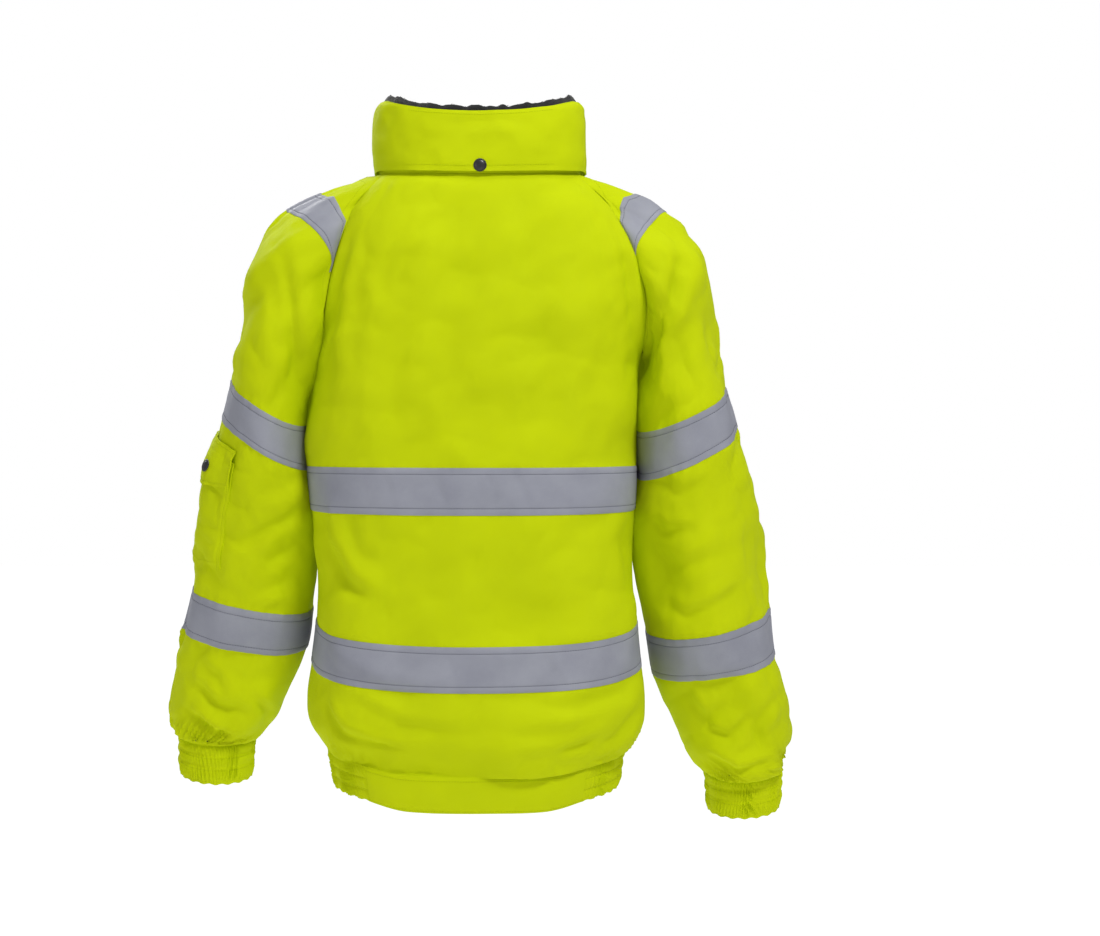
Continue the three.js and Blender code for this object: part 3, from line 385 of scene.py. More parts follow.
backFolds = [  # path, width, depth
    ([(-136, -34), (-160, -90), (-172, -137), (-183, -205), (-160, -250)], 7, 5.0),
    ([(-120, -40), (-140, -96), (-150, -150)], 8, 2.2),
    ([(140, -52), (158, -110), (168, -170), (172, -230)], 8, 3.6),
    ([(120, -60), (136, -130), (140, -200)], 10, 1.8),
    ([(-12, -85), (18, -112), (38, -150), (44, -275)], 24, 4.2),
    ([(-22, -96), (-52, -104), (-70, -180), (-78, -300)], 22, 4.2),
    ([(96, -180), (104, -250), (100, -320)], 20, 2.6),
    ([(-130, -200), (-126, -260), (-134, -320)], 18, 2.4),
    ([(186, -366), (176, -420), (152, -466), (110, -490)], 9, 8.0),
    ([(150, -392), (140, -430), (110, -450)], 9, 2.6),
    ([(-176, -392), (-170, -430), (-172, -486)], 8, 5.0),
    ([(-150, -396), (-120, -430), (-60, -440)], 14, 1.8),
    ([(60, -400), (30, -440), (-30, -450)], 16, 1.6),
    ([(192, -520), (160, -566), (110, -584), (30, -592)], 9, 5.2),
    ([(-188, -540), (-160, -590), (-110, -606), (-40, -600)], 9, 4.6),
    ([(150, -596), (90, -626), (10, -636)], 8, 3.6),
    ([(-160, -606), (-96, -632), (-20, -640)], 8, 3.4),
    ([(184, -596), (158, -636), (122, -652)], 6, 6.0),
    ([(-182, -606), (-154, -642), (-122, -654)], 6, 6.0),
    ([(150, -632), (120, -648), (84, -654)], 5, 4.2),
    ([(-140, -636), (-112, -650), (-80, -656)], 5, 4.2),
    ([(60, -338), (44, -362), (34, -392)], 4, 1.7),
    ([(-2, -332), (-14, -360), (-18, -392)], 3.6, 2.0),
    ([(-32, -330), (-44, -356), (-60, -392)], 4, 1.6),
    ([(110, -340), (100, -364), (96, -388)], 4, 1.2),
    ([(40, -540), (30, -562), (26, -586)], 4, 1.3),
    ([(-70, -540), (-80, -562), (-96, -586)], 4, 1.2),
]


def bodyRelief(points, face, drop, arc):
    f = foldSettings
    x, z = points[..., 0], points[..., 2]
    halfWidth = alongKnots(bodyKnots, drop)[0]
    aside = ramp(np.abs(x) / halfWidth, 0.62, 0.9)
    taped = onTapes(drop)
    relief = f["drape"] * waves(x, z / 2.6, 62, 3 + face) * ramp(drop, 20, 90) * (1 - 0.35 * taped)
    relief = relief + f["billow"] * waves(x + z * 0.4, z, 38, 8 + face) * (1 - 0.4 * taped)
    relief = relief + f["rumple"] * waves(x, z + x * 0.3, 15, 15 + face) * (1 - 0.5 * taped)
    relief = relief + 1.7 * crinkles(x + z * 0.5, z * 0.8 - x * 0.2, 52, 21 + face) * (1 - 0.7 * taped)
    if face > 0:
        for path, width, depth in backFolds:
            relief = relief + foldAlong(x, z, path, width, depth) * (1 - 0.45 * taped)
    relief = relief + f["puckerDepth"] * tapeEdges(drop) * np.sin(
        (arc + 5 * waves(arc, drop, 30, 31)) * 2 * math.pi / f["puckerSize"])
    toBand = bandDrop - drop
    gather = (0.25 + 0.85 * aside) * np.exp(-((toBand / (16 + 22 * aside)) ** 2))
    ridges = pleats(arc, toBand, f["gatherSize"], 41 + face) * np.clip(1 - toBand / 120, 0, 1)
    relief = relief + f["gatherDepth"] * gather * ridges * ramp(toBand, -2, 9)
    relief = relief * (1 - 0.35 * ramp(np.abs(x) / halfWidth, 0.9, 1.0))
    settle = ramp(drop, 0, 14) * ramp(toBand, -1, 4)
    return relief * settle


def edgeDip(distance):  # how far a sewn edge turns in, by distance from it
    return -foldSettings["seamDip"] * np.exp(-((distance / foldSettings["seamReach"]) ** 2))


def bodyRows():
    stops = [0, cut["underarmDrop"], chestTapeDrop, chestTapeDrop + cut["tapeWidth"],
             hemTapeDrop, hemTapeDrop + cut["tapeWidth"], bandDrop]
    rows = [0, 1.4, 3]
    for start, end in zip(stops[:-1], stops[1:]):
        count = max(6, int(round((end - start) / 3.9)))
        rows += list(np.linspace(start, end, count + 1)[1:] if start else np.linspace(5, end, count))
    return np.unique(np.round(rows[:-1] + [bandDrop - 2.5, bandDrop - 1, bandDrop], 3))


rowDrops = bodyRows()


def bodyPanel(face, angles, side=0):
    drops = rowDrops[:, None]
    tucked = 2.6 * (1 - ramp(drops, cut["underarmDrop"] - 30, cut["underarmDrop"]))  # under the sleeve's edge
    wide = halfWidthAt(drops) - 0.2 * (1 - ramp(drops, cut["underarmDrop"] - 20, cut["underarmDrop"])) + tucked
    if side:
        x = side * (cut["zipEdge"] + (wide - cut["zipEdge"]) * np.sin(angles)[None, :])
    else:
        x = np.sin(angles)[None, :] * wide
    points = bodyPoint(face, x, np.broadcast_to(drops, x.shape))
    normals = gridNormals(points, bodyHub(points))
    arc, _ = gridLengths(points)
    drop = np.broadcast_to(drops, x.shape)
    relief = bodyRelief(points, face, drop, arc)
    edge = np.abs(arc[:, -1:]) - np.abs(arc)
    if side:
        edge = arc[:, -1:] - arc
    held = 1 - 0.96 * np.exp(-((edge / (13 + 17 * ramp(drop, 540, 600))) ** 2))
    sink = edgeDip(edge) * (0.5 + 1.3 * tucked / 2.6)
    if side:
        fromZip = arc - arc[:, :1]
        held = held * (1 - 0.97 * np.exp(-((fromZip / 24) ** 2)))
        relief = np.where(fromZip < 30, np.maximum(relief, -0.4), relief)
    points = points + normals * (relief * held + sink + 0.5 * edgeDip(drop) + 0.7 * edgeDip(bandDrop - drop))[..., None]
    if side:  # the fronts' side edges run under the back's
        below = ramp(rowDrops, cut["underarmDrop"] - 4, cut["underarmDrop"] + 4)
        points[:, -1, 0] -= side * 0.9 * below
        points[:, -1, 1] += 2.2 * below
    return {"points": points, "normals": gridNormals(points, bodyHub(points))}


def panelRows(panel, fromDrop, toDrop):
    rows = (rowDrops >= fromDrop - 0.01) & (rowDrops <= toDrop + 0.01)
    return panel["points"][rows], panel["normals"][rows]


def mathNode(graph, operation, first, second=None, third=None):
    node = graph.nodes.new("ShaderNodeMath")
    node.operation = operation
    for socket, value in zip(node.inputs, (first, second, third)):
        if value is None:
            continue
        if isinstance(value, (int, float)):
            socket.default_value = value
        else:
            graph.links.new(value, socket)
    return node.outputs[0]


def newGroup(name, inputs, outputs):
    group = bpy.data.node_groups.new(name, "ShaderNodeTree")
    for label, kind, value in inputs:
        socket = group.interface.new_socket(name=label, in_out="INPUT", socket_type=kind)
        if value is not None:
            socket.default_value = value
    for label, kind in outputs:
        group.interface.new_socket(name=label, in_out="OUTPUT", socket_type=kind)
    return group, group.nodes.new("NodeGroupInput"), group.nodes.new("NodeGroupOutput")


def makeWeaveGroup():  # crossed threads on the cloth's own map, in millimetres
    group, given, out = newGroup("wovenThreads", [
        ("Map", "NodeSocketVector", None), ("Thread Size", "NodeSocketFloat", 0.9),
        ("Unevenness", "NodeSocketFloat", 0.25)],
        [("Height", "NodeSocketFloat"), ("Gap Shade", "NodeSocketFloat")])
    links = group.links
    noise = group.nodes.new("ShaderNodeTexNoise")
    noise.inputs["Scale"].default_value = 0.06
    noise.inputs["Detail"].default_value = 2
    links.new(given.outputs["Map"], noise.inputs["Vector"])
    split = group.nodes.new("ShaderNodeSeparateXYZ")
    links.new(given.outputs["Map"], split.inputs[0])
    pace = mathNode(group, "DIVIDE", math.pi, given.outputs["Thread Size"])
    threads = []
    for axis in ("X", "Y"):
        phase = mathNode(group, "MULTIPLY", split.outputs[axis], pace)
        threads.append(mathNode(group, "ABSOLUTE", mathNode(group, "SINE", phase)))
    crossing = mathNode(group, "MULTIPLY", threads[0], threads[1])
    bumpy = mathNode(group, "MULTIPLY", noise.outputs[0], given.outputs["Unevenness"])
    links.new(mathNode(group, "ADD", crossing, bumpy), out.inputs["Height"])
    links.new(mathNode(group, "SUBTRACT", 1.0, crossing), out.inputs["Gap Shade"])
    return group


def makeHandlingGroup():  # broad and fine patches where cloth has been handled
    group, given, out = newGroup("handledPatches", [
        ("Place", "NodeSocketVector", None), ("Broad Scale", "NodeSocketFloat", 9.0),
        ("Fine Scale", "NodeSocketFloat", 60.0)],
        [("Broad", "NodeSocketFloat"), ("Fine", "NodeSocketFloat")])
    for label in ("Broad", "Fine"):
        noise = group.nodes.new("ShaderNodeTexNoise")
        noise.inputs["Detail"].default_value = 4 if label == "Broad" else 6
        noise.inputs["Roughness"].default_value = 0.55
        group.links.new(given.outputs["Place"], noise.inputs["Vector"])
        group.links.new(given.outputs[f"{label} Scale"], noise.inputs["Scale"])
        group.links.new(noise.outputs[0], out.inputs[label])
    return group


weaveGroup = makeWeaveGroup()
handlingGroup = makeHandlingGroup()


def srgb(red, green, blue):
    return tuple(((c / 255 + 0.055) / 1.055) ** 2.4 if c > 10 else c / 255 / 12.92 for c in (red, green, blue)) + (1,)


def startFinish(name, light, dark, broadScale=9.0, fineScale=60.0):
    material = bpy.data.materials.new(name)
    material.use_nodes = True
    graph = material.node_tree
    shader = graph.nodes["Principled BSDF"]
    place = graph.nodes.new("ShaderNodeTexCoord")
    handled = graph.nodes.new("ShaderNodeGroup")
    handled.node_tree = handlingGroup
    handled.inputs["Broad Scale"].default_value = broadScale
    handled.inputs["Fine Scale"].default_value = fineScale
    graph.links.new(place.outputs["Object"], handled.inputs["Place"])
    tint = graph.nodes.new("ShaderNodeMix")
    tint.data_type = "RGBA"
    tint.inputs["A"].default_value = light
    tint.inputs["B"].default_value = dark
    graph.links.new(tint.outputs["Result"], shader.inputs["Base Color"])
    return material, graph, shader, place, handled, tint


def addRelief(graph, shader, height, strength, distance):
    relief = graph.nodes.new("ShaderNodeBump")
    relief.inputs["Strength"].default_value = strength
    relief.inputs["Distance"].default_value = distance
    graph.links.new(height, relief.inputs["Height"])
    graph.links.new(relief.outputs[0], shader.inputs["Normal"])


def mixBetween(graph, shade, tint):  # the shade, kept between 0 and 1, sets the tint
    kept = mathNode(graph, "MINIMUM", mathNode(graph, "MAXIMUM", shade, 0.0), 1.0)
    graph.links.new(kept, tint.inputs["Factor"])


def clothFinish(name, light, dark, threadSize, bump, roughness, glow=0.0, sheen=0.0, unevenness=0.25):
    material, graph, shader, place, handled, tint = startFinish(name, light, dark)
    uv = graph.nodes.new("ShaderNodeUVMap")
    uv.uv_map = "clothMap"
    weave = graph.nodes.new("ShaderNodeGroup")
    weave.node_tree = weaveGroup
    weave.inputs["Thread Size"].default_value = threadSize
    weave.inputs["Unevenness"].default_value = unevenness
    graph.links.new(uv.outputs[0], weave.inputs["Map"])
    shade = mathNode(graph, "MULTIPLY_ADD", handled.outputs["Broad"], 1.1, -0.15)
    # the gaps between threads are darkened: painted shade in the weave's hollows
    shade = mathNode(graph, "MULTIPLY_ADD", weave.outputs["Gap Shade"], 0.35, shade)
    mixBetween(graph, shade, tint)
    rough = mathNode(graph, "MULTIPLY_ADD", handled.outputs["Fine"], 0.16, roughness - 0.08)
    graph.links.new(rough, shader.inputs["Roughness"])
    height = mathNode(graph, "MULTIPLY_ADD", handled.outputs["Fine"], 0.5, weave.outputs["Height"])
    addRelief(graph, shader, height, bump, 0.0004)
    shader.inputs["Sheen Weight"].default_value = sheen
    shader.inputs["Specular IOR Level"].default_value = 0.12
    # the cloth also emits its own tint: painted light that lifts the shade of its folds, though it is no lamp
    if glow:
        graph.links.new(tint.outputs["Result"], shader.inputs["Emission Color"])
        shader.inputs["Emission Strength"].default_value = glow
    material.diffuse_color = light
    return material


def tapeFinish():
    material, graph, shader, place, handled, tint = startFinish(
        "glassBeadTape", srgb(166, 168, 178), srgb(136, 138, 150), 22, 420)
    beads = graph.nodes.new("ShaderNodeTexVoronoi")
    beads.inputs["Scale"].default_value = 2600
    graph.links.new(place.outputs["Object"], beads.inputs["Vector"])
    shade = mathNode(graph, "MULTIPLY_ADD", handled.outputs["Broad"], 1.0, -0.05)
    # darker towards each bead's rim and between beads: painted shade on the glass beads
    shade = mathNode(graph, "MULTIPLY_ADD", beads.outputs["Distance"], 0.35, shade)
    mixBetween(graph, shade, tint)
    graph.links.new(mathNode(graph, "MULTIPLY_ADD", handled.outputs["Fine"], 0.2, 0.5), shader.inputs["Roughness"])
    addRelief(graph, shader, mathNode(graph, "ADD", beads.outputs["Distance"], handled.outputs["Fine"]), 0.12, 0.0003)
    shader.inputs["Metallic"].default_value = 0.0
    shader.inputs["Specular IOR Level"].default_value = 0.25
    return material


def hardFinish(name, light, dark, metallic, roughness, grain=900, bump=0.1, coat=0.0):
    material, graph, shader, _, handled, tint = startFinish(name, light, dark, 140, grain)
    graph.links.new(handled.outputs["Broad"], tint.inputs["Factor"])
    rough = mathNode(graph, "MULTIPLY_ADD", handled.outputs["Fine"], 0.25, roughness - 0.12)
    graph.links.new(rough, shader.inputs["Roughness"])
    addRelief(graph, shader, handled.outputs["Fine"], bump, 0.0002)
    shader.inputs["Metallic"].default_value = metallic
    shader.inputs["Coat Weight"].default_value = coat
    return material


# both yellows glow a little: painted light that lifts their shaded folds
yellow = clothFinish("hiVisYellow", srgb(204, 219, 0), srgb(188, 204, 0), 0.45, 0.35, 0.8, glow=0.05)
yellowTrim = clothFinish("hiVisYellowThread", srgb(196, 210, 4), srgb(170, 186, 0), 0.3, 0.4, 0.8, glow=0.05)
tapeGrey = tapeFinish()
greyThread = clothFinish("greyThread", srgb(120, 122, 130), srgb(92, 94, 104), 0.25, 0.5, 0.7)
fleeceBlack = clothFinish("curlyFleece", srgb(34, 34, 35), srgb(12, 12, 13), 0.8, 0.8, 0.95, sheen=0.3, unevenness=1.4)
liningDark = clothFinish("quiltedTaffeta", srgb(44, 48, 56), srgb(26, 29, 35), 0.3, 0.25, 0.5, sheen=0.15)
elasticWhite = clothFinish("ribbedElastic", srgb(222, 222, 214), srgb(188, 188, 180), 0.9, 0.8, 0.85)
blackWebbing = clothFinish("blackWebbing", srgb(40, 40, 42), srgb(20, 20, 22), 0.5, 0.8, 0.7, sheen=0.1)
studMetal = hardFinish("gunmetal", srgb(72, 72, 76), srgb(48, 48, 50), 0.75, 0.42, coat=0.2)
zipPlastic = hardFinish("mouldedTeeth", srgb(44, 44, 47), srgb(28, 28, 30), 0.0, 0.42, grain=1600)
print("finishes made")


stitchLines = {}


def addStitches(body, threadName, points, normals, lift):
    line = np.asarray(points) + np.asarray(normals) * lift
    stitchLines.setdefault((body, threadName), []).append((toFrame(line), np.asarray(normals)))


def addTapeStitches(grid, normals, closed=False):
    for share in (0.14, 0.86):
        k = int(np.argmin(np.abs(tapeSteps - share)))
        line, up = grid[k], normals[k]
        if closed:
            line, up = np.concatenate([line, line[:1]]), np.concatenate([up, up[:1]])
        addStitches("jacket", "grey", line, up, tapeLift + 0.42)


backPanel = bodyPanel(1, stepsBetween(-quarter, quarter, 132))
frontPanels = {name: bodyPanel(-1, stepsBetween(0.0, quarter, 66), side) for name, side in sides.items()}
panels = {"back": backPanel, "front_left": frontPanels["left"], "front_right": frontPanels["right"]}
clothThickness = 1.2
liningInner = -clothThickness - 0.4 - 3.5
tapeLift = 0.45
tapeSettings = {"seamInset": 7.0, "groove": 0.45, "grooveWidth": 0.8, "thickness": 0.7}
tapeSteps = np.array([0, 0.5, 1.2, 3, 5, 6, 6.6, 7, 7.4, 8, 9, 12, 16, 20, 25, 30, 34, 38, 41, 42, 42.6, 43, 43.4,
                      44, 45, 47, 48.8, 49.5, 50]) / cut["tapeWidth"]


def finerRows(grid, shares):  # the same strip with rows at the given shares of its width
    at = np.asarray(shares) * (len(grid) - 1)
    k = np.minimum(at.astype(int), len(grid) - 2)
    t = (at - k)[:, None, None]
    return grid[k] * (1 - t) + grid[k + 1] * t


def tapeStrip(grid, normals):  # finer rows, its normals, and the offset of its face
    t = tapeSettings
    grid, normals = finerRows(grid, tapeSteps), finerRows(normals, tapeSteps)
    inset = np.minimum(tapeSteps, 1 - tapeSteps)[:, None] * cut["tapeWidth"]
    raised = tapeLift + t["thickness"] - 0.5 * np.exp(-((inset / 1.0) ** 2))
    raised = raised - t["groove"] * np.exp(-(((inset - t["seamInset"]) / t["grooveWidth"]) ** 2))
    return grid, normals, raised


for place, panel in panels.items():
    nodeName = "back_panel" if place == "back" else place.replace("front_", "front_panel_")
    addCloth(nodeName, "cloth", "hi_vis_fabric", yellow, panel["points"], panel["normals"], 0, -clothThickness)
    for band, top in (("chest", chestTapeDrop), ("hem", hemTapeDrop)):
        grid, normals = panelRows(panel, top, top + cut["tapeWidth"])
        grid, normals, raised = tapeStrip(grid, normals)
        addTapeStitches(grid, normals)
        node = f"{band}_tape_{place}"
        addCloth(node, "band", "reflective_tape", tapeGrey, grid, normals, raised, -0.3)


def quilting(arc, down, size=46):  # sewn channels in a padded lining
    cross = np.abs(np.sin((arc + down) * math.pi / size)) * np.abs(np.sin((arc - down) * math.pi / size))
    return 1.6 * np.clip(cross * 3.2, 0, 1) ** 0.5


def paddedLining(name, points, hub, wraps=False):
    normals = gridNormals(points, hub, wraps)
    across, down = gridLengths(points, wraps)
    if wraps:
        across = across[:, :-1]
    puff = quilting(across, down) - 1.6
    piece = thickSheet(name + "_padding", points, normals, -3.2, liningInner - 0.9 - puff * 0.9 - 1.2, wraps)
    return piece


for place, panel in panels.items():
    node = "back_lining" if place == "back" else place.replace("front_", "front_lining_")
    keep = (rowDrops > 16) & (rowDrops < bandDrop - 6)
    grid = panel["points"][keep][::2]
    grid = grid[:, 2:-2][:, ::2]
    if place != "back":
        grid = grid[:, 8:]
    piece = paddedLining(node, grid, bodyHub(grid))
    seat(piece, "jacket", "lining_fabric", liningDark, node)
print("panels, linings and body tapes made")


bandSettings = {"seamLap": 0.006, "rows": [0.8, 14, 27.5, 41], "puff": 1.5, "puckerSize": 8.5, "puckerDepth": 3.4}


def gathered(arc, down, rows, size, puff, depth, seed):  # cloth puffed and puckered between rows of elastic
    rowAt = np.array(rows, float)
    k = np.clip(np.searchsorted(rowAt, down, side="right") - 1, 0, len(rowAt) - 2)
    t = np.clip((down - rowAt[k]) / (rowAt[k + 1] - rowAt[k]), 0, 1)
    swell = np.sin(t * math.pi) ** 0.7
    return swell * puff + pleats(arc, down * 0.7, size, seed) * depth * (0.35 + 0.65 * swell) - 0.5


def wrapBand(side, start, end, toZip, columns, downs):  # round the side from back to front
    angles = np.linspace(start, end, columns)[None, :]
    drops = (bandDrop + downs)[:, None]
    face = np.where(angles <= quarter, 1.0, -1.0)
    x = side * np.sin(angles) * alongKnots(bodyKnots, drops)[0]
    if toZip:
        x = np.where(angles > end - 1e-6, side * float(cut["zipEdge"]), x)
    return bodyPoint(face, x, np.broadcast_to(drops, x.shape))


bandDowns = np.linspace(-2.2, 41, 36)
sideStart, frontJoin = math.radians(46), math.pi - 0.7
zipAngle = math.pi - math.asin(cut["zipEdge"] / (chest - 20))

backEnd = sideStart + bandSettings["seamLap"]
angles = np.linspace(-backEnd, backEnd, 90)[None, :]
drops = (bandDrop + bandDowns)[:, None]
grid = bodyPoint(1, np.sin(angles) * alongKnots(bodyKnots, drops)[0], np.broadcast_to(drops, (36, 90)))
normals = gridNormals(grid, bodyHub(grid))
arc, down = gridLengths(grid)
roll = 1.3 * np.sin(np.clip(down / 43, 0, 1) * math.pi) - 2.6 * np.exp(-((down / 2.6) ** 2))
roll = roll - np.exp(-(((43 - down) / 1.4) ** 2))
grid = grid + normals * (roll + 0.8 * waves(arc, down, 34, 61))[..., None]
addCloth("waistband_back", "cloth", "hi_vis_fabric", yellow, grid, gridNormals(grid, bodyHub(grid)), 0, -2.4)
bandGrids = {"back": grid}

for name, side in sides.items():
    b = bandSettings
    grid = wrapBand(side, sideStart - b["seamLap"], frontJoin, False, 170, bandDowns)
    normals = gridNormals(grid, bodyHub(grid))
    arc, down = gridLengths(grid)
    ends = ramp(np.abs(arc[:, -1:]) - np.abs(arc), 0, 9)
    puckers = gathered(arc, down, b["rows"], b["puckerSize"], b["puff"], b["puckerDepth"], 70 + side)
    grid = grid + normals * (ends * puckers - 1.8 * np.exp(-((down / 2.6) ** 2)))[..., None]
    grid[..., 2] += ends * 0.9 * np.sin(arc * 2 * math.pi / 17) * ramp(down, 30, 41)
    addCloth(f"waistband_side_{name}", "cloth", "hi_vis_fabric", yellow, grid, gridNormals(grid, bodyHub(grid)), 0,
             -clothThickness)
    bandGrids[name] = grid
    front = wrapBand(side, frontJoin - 0.004, zipAngle, True, 40, bandDowns)
    normals = gridNormals(front, bodyHub(front))
    addCloth(f"waistband_front_{name}", "cloth", "hi_vis_fabric", yellow, front, normals, 0.6, -0.8)
    elastic = wrapBand(side, sideStart + 0.02, frontJoin - 0.02, False, 150, np.linspace(4, 37, 12))
    normals = gridNormals(elastic, bodyHub(elastic))
    arc, down = gridLengths(elastic)
    ribs = 0.25 * np.abs(np.sin(down * math.pi / 3.3)) + 0.2 * np.sin(arc * 2 * math.pi / 5)
    addCloth(f"waist_elastic_{name}", "band", "elastic", elasticWhite, elastic, normals, -3.0, -4.4 - ribs)
print("waistband made")


sleeveFolds = {  # local x and z, width, depth, on the back of each sleeve
    "left": [
        ([(224, -96), (214, -150), (211, -190), (208, -236), (198, -276)], 9, 11.5),
        ([(246, -86), (232, -140), (226, -200), (222, -250)], 9, 4.0),
        ([(204, -110), (199, -150), (196, -200)], 7, 3.6),
        ([(262, -110), (254, -170), (262, -220)], 13, 3.0),
        ([(192, -372), (222, -398), (262, -420), (296, -424)], 7, 5.0),
        ([(192, -410), (216, -436), (250, -450)], 7, 4.4),
        ([(196, -452), (226, -474), (270, -486)], 8, 4.4),
        ([(200, -336), (226, -360), (262, -372)], 9, 3.2),
        ([(216, -560), (240, -580), (290, -586)], 10, 3.2),
        ([(336, -590), (306, -616), (268, -620)], 7, 6.0),
        ([(346, -622), (310, -644), (284, -650)], 5, 6.5),
        ([(268, -596), (250, -622), (256, -652)], 6, 5.0),
        ([(330, -560), (310, -580), (296, -610)], 7, 3.4),
    ],
    "right": [
        ([(-222, -76), (-226, -110), (-219, -146), (-200, -184), (-182, -202)], 9, 10),
        ([(-206, -120), (-196, -190), (-190, -240), (-186, -280)], 7, 4.0),
        ([(-246, -140), (-230, -200), (-216, -262)], 11, 3.4),
        ([(-262, -100), (-266, -160), (-256, -220)], 12, 2.4),
        ([(-184, -346), (-230, -366), (-276, -352)], 9, 3.6),
        ([(-180, -392), (-214, -412), (-250, -404)], 7, 4.2),
        ([(-186, -434), (-226, -452), (-290, -430)], 9, 4.4),
        ([(-190, -484), (-240, -506), (-306, -474)], 7, 4.0),
        ([(-216, -560), (-260, -590), (-320, -570)], 9, 3.2),
        ([(-256, -640), (-290, -652), (-322, -622)], 6, 6.0),
        ([(-262, -668), (-300, -686), (-336, -680)], 5, 6.5),
        ([(-232, -604), (-262, -632), (-300, -606)], 7, 4.6),
        ([(-340, -600), (-322, -640), (-330, -676)], 6, 4.6),
    ],
}
tapeStations = {"upper": 4.0, "lower": 8.0}


def sleeveAlongs():
    stops = [0, 1, 2, 3, 4, 5, 8, 9, 12]
    counts = [12, 10, 12, 12, 14, 52, 14, 44]
    rows = [0, 0.03, 0.07]
    for start, end, count in zip(stops[:-1], stops[1:], counts):
        rows += list(np.linspace(start, end, count + 1)[1:])
    return np.unique(np.round(rows[:-1] + [11.95, 11.98, 12], 4))


alongRows = sleeveAlongs()
sleeveTurns = np.linspace(0, 2 * math.pi, 145)[:-1]
turnStep = sleeveTurns[1] - sleeveTurns[0]


def makeSleeve(name, side):
    f = foldSettings
    turns, alongs = np.meshgrid(sleeveTurns, alongRows)
    points = sleeveGrid(side, sleeveTurns, alongRows, cut["reach"][name])
    normals = gridNormals(points, rowHub(points), True)
    arc, down = gridLengths(points, True)
    arc = arc[:, :-1]
    x, z = points[..., 0], points[..., 2]
    taped = sum(ramp(alongs, t - 0.06, t + 0.06) * (1 - ramp(alongs, t + 0.94, t + 1.06)) for t in (4, 8))
    inside = (1 - np.cos(turns)) / 2
    seam = np.minimum(turns, 2 * math.pi - turns)
    relief = f["drape"] * 1.15 * waves(z / 1.8 + 400, arc, 46, 103 + side) * (1 - 0.35 * taped)
    relief = relief + 1.5 * waves(z + x * 0.7, arc, 25, 108 + side) * (1 - 0.5 * taped)
    relief = relief + 0.4 * waves(z, arc + z * 0.5, 13, 115 + side) * (1 - 0.6 * taped)
    relief = relief + 2.2 * crinkles(z + 0.5 * arc, arc, 44, 121 + side) * (1 - 0.7 * taped)
    fade = ramp(np.sin(seam) * np.sign(math.pi - turns), -0.15, 0.3)
    for path, width, depth in sleeveFolds[name]:
        relief = relief + foldAlong(x, z, path, width, depth) * fade * (1 - 0.4 * taped)
    near = np.zeros_like(alongs)
    for stop in (4, 5, 8, 9):
        near = np.maximum(near, np.exp(-(((alongs - stop) / 0.14) ** 2)))
    relief = relief + 0.45 * near * np.sin((arc + 5 * waves(arc, z, 30, 131)) * 2 * math.pi / 13)
    toCuff = down[-1:] - down
    cuffGather = np.exp(-((toCuff / 30) ** 2))
    relief = relief + 6.5 * cuffGather * pleats(arc * 1.25, toCuff, 24, 141 + side) * ramp(toCuff, -1, 12)
    relief = relief + 2.2 * np.exp(-(((toCuff - 30) / 20) ** 2)) * waves(arc, toCuff, 30, 145 + side)
    relief = relief * (1 - 0.55 * ramp(inside, 0.72, 0.95) * ramp(alongs, 1.5, 3))
    relief = relief * ramp(down, 0, 16) * ramp(toCuff, -0.5, 4)
    points = points + normals * (relief + 0.45 * edgeDip(down) + edgeDip(toCuff) * 1.2)[..., None]
    return {"points": points, "normals": gridNormals(points, rowHub(points), True), "down": down}


def sleeveRows(sleeve, start, end):
    rows = (alongRows >= start - 1e-3) & (alongRows <= end + 1e-3)
    return sleeve["points"][rows], sleeve["normals"][rows]


def onSleeve(sleeve, turn, along):  # points and normals at any turn and ring
    turn, along = np.broadcast_arrays(np.asarray(turn, float) % (2 * math.pi), along)
    place = turn / turnStep
    i = np.floor(place).astype(int)
    k = np.clip(np.searchsorted(alongRows, along, side="right") - 1, 0, len(alongRows) - 2)
    u = (place - i)[..., None]
    v = ((along - alongRows[k]) / (alongRows[k + 1] - alongRows[k]))[..., None]
    found = []
    for key in ("points", "normals"):
        grid = sleeve[key]
        n = len(sleeveTurns)
        near = grid[k, i % n] * (1 - u) + grid[k, (i + 1) % n] * u
        far = grid[k + 1, i % n] * (1 - u) + grid[k + 1, (i + 1) % n] * u
        found.append(near * (1 - v) + far * v)
    found[1] = found[1] / np.linalg.norm(found[1], axis=-1, keepdims=True)
    return found


sleeves = {name: makeSleeve(name, side) for name, side in sides.items()}
for name, side in sides.items():
    sleeve = sleeves[name]
    addCloth(f"sleeve_{name}", "cloth", "hi_vis_fabric", yellow, sleeve["points"], sleeve["normals"], 0,
             -clothThickness, True)
    for place, start in tapeStations.items():
        grid, normals = sleeveRows(sleeve, start, start + 1)
        grid, normals, raised = tapeStrip(grid, normals)
        addTapeStitches(grid, normals, True)
        addCloth(f"{place}_arm_tape_{name}", "band", "reflective_tape", tapeGrey, grid, normals, raised, -0.3,
                 True)
    turns = np.linspace(-math.radians(111), math.radians(111), 131)[None, :]
    size = np.abs(turns)
    inner = np.maximum(0.07, 0.62 * (1 - (size / math.radians(74)) ** 2.2))
    outer = np.maximum(0.12, 1 - (size / math.radians(112)) ** 1.6)
    share = np.linspace(0, 1, 27)[:, None]
    grid, normals = onSleeve(sleeve, turns, inner + share * (outer - inner))
    grid, normals, raised = tapeStrip(grid, normals)
    addTapeStitches(grid[:, 8:-8], normals[:, 8:-8])
    addCloth(f"shoulder_tape_{name}", "band", "reflective_tape", tapeGrey, grid, normals, raised, -0.3)
    padding = sleeve["points"][14:-8:2]
    piece = paddedLining(f"sleeve_lining_{name}", padding, rowHub(padding), True)
    seat(piece, "jacket", "lining_fabric", liningDark, f"sleeve_lining_{name}")
print("sleeves made")


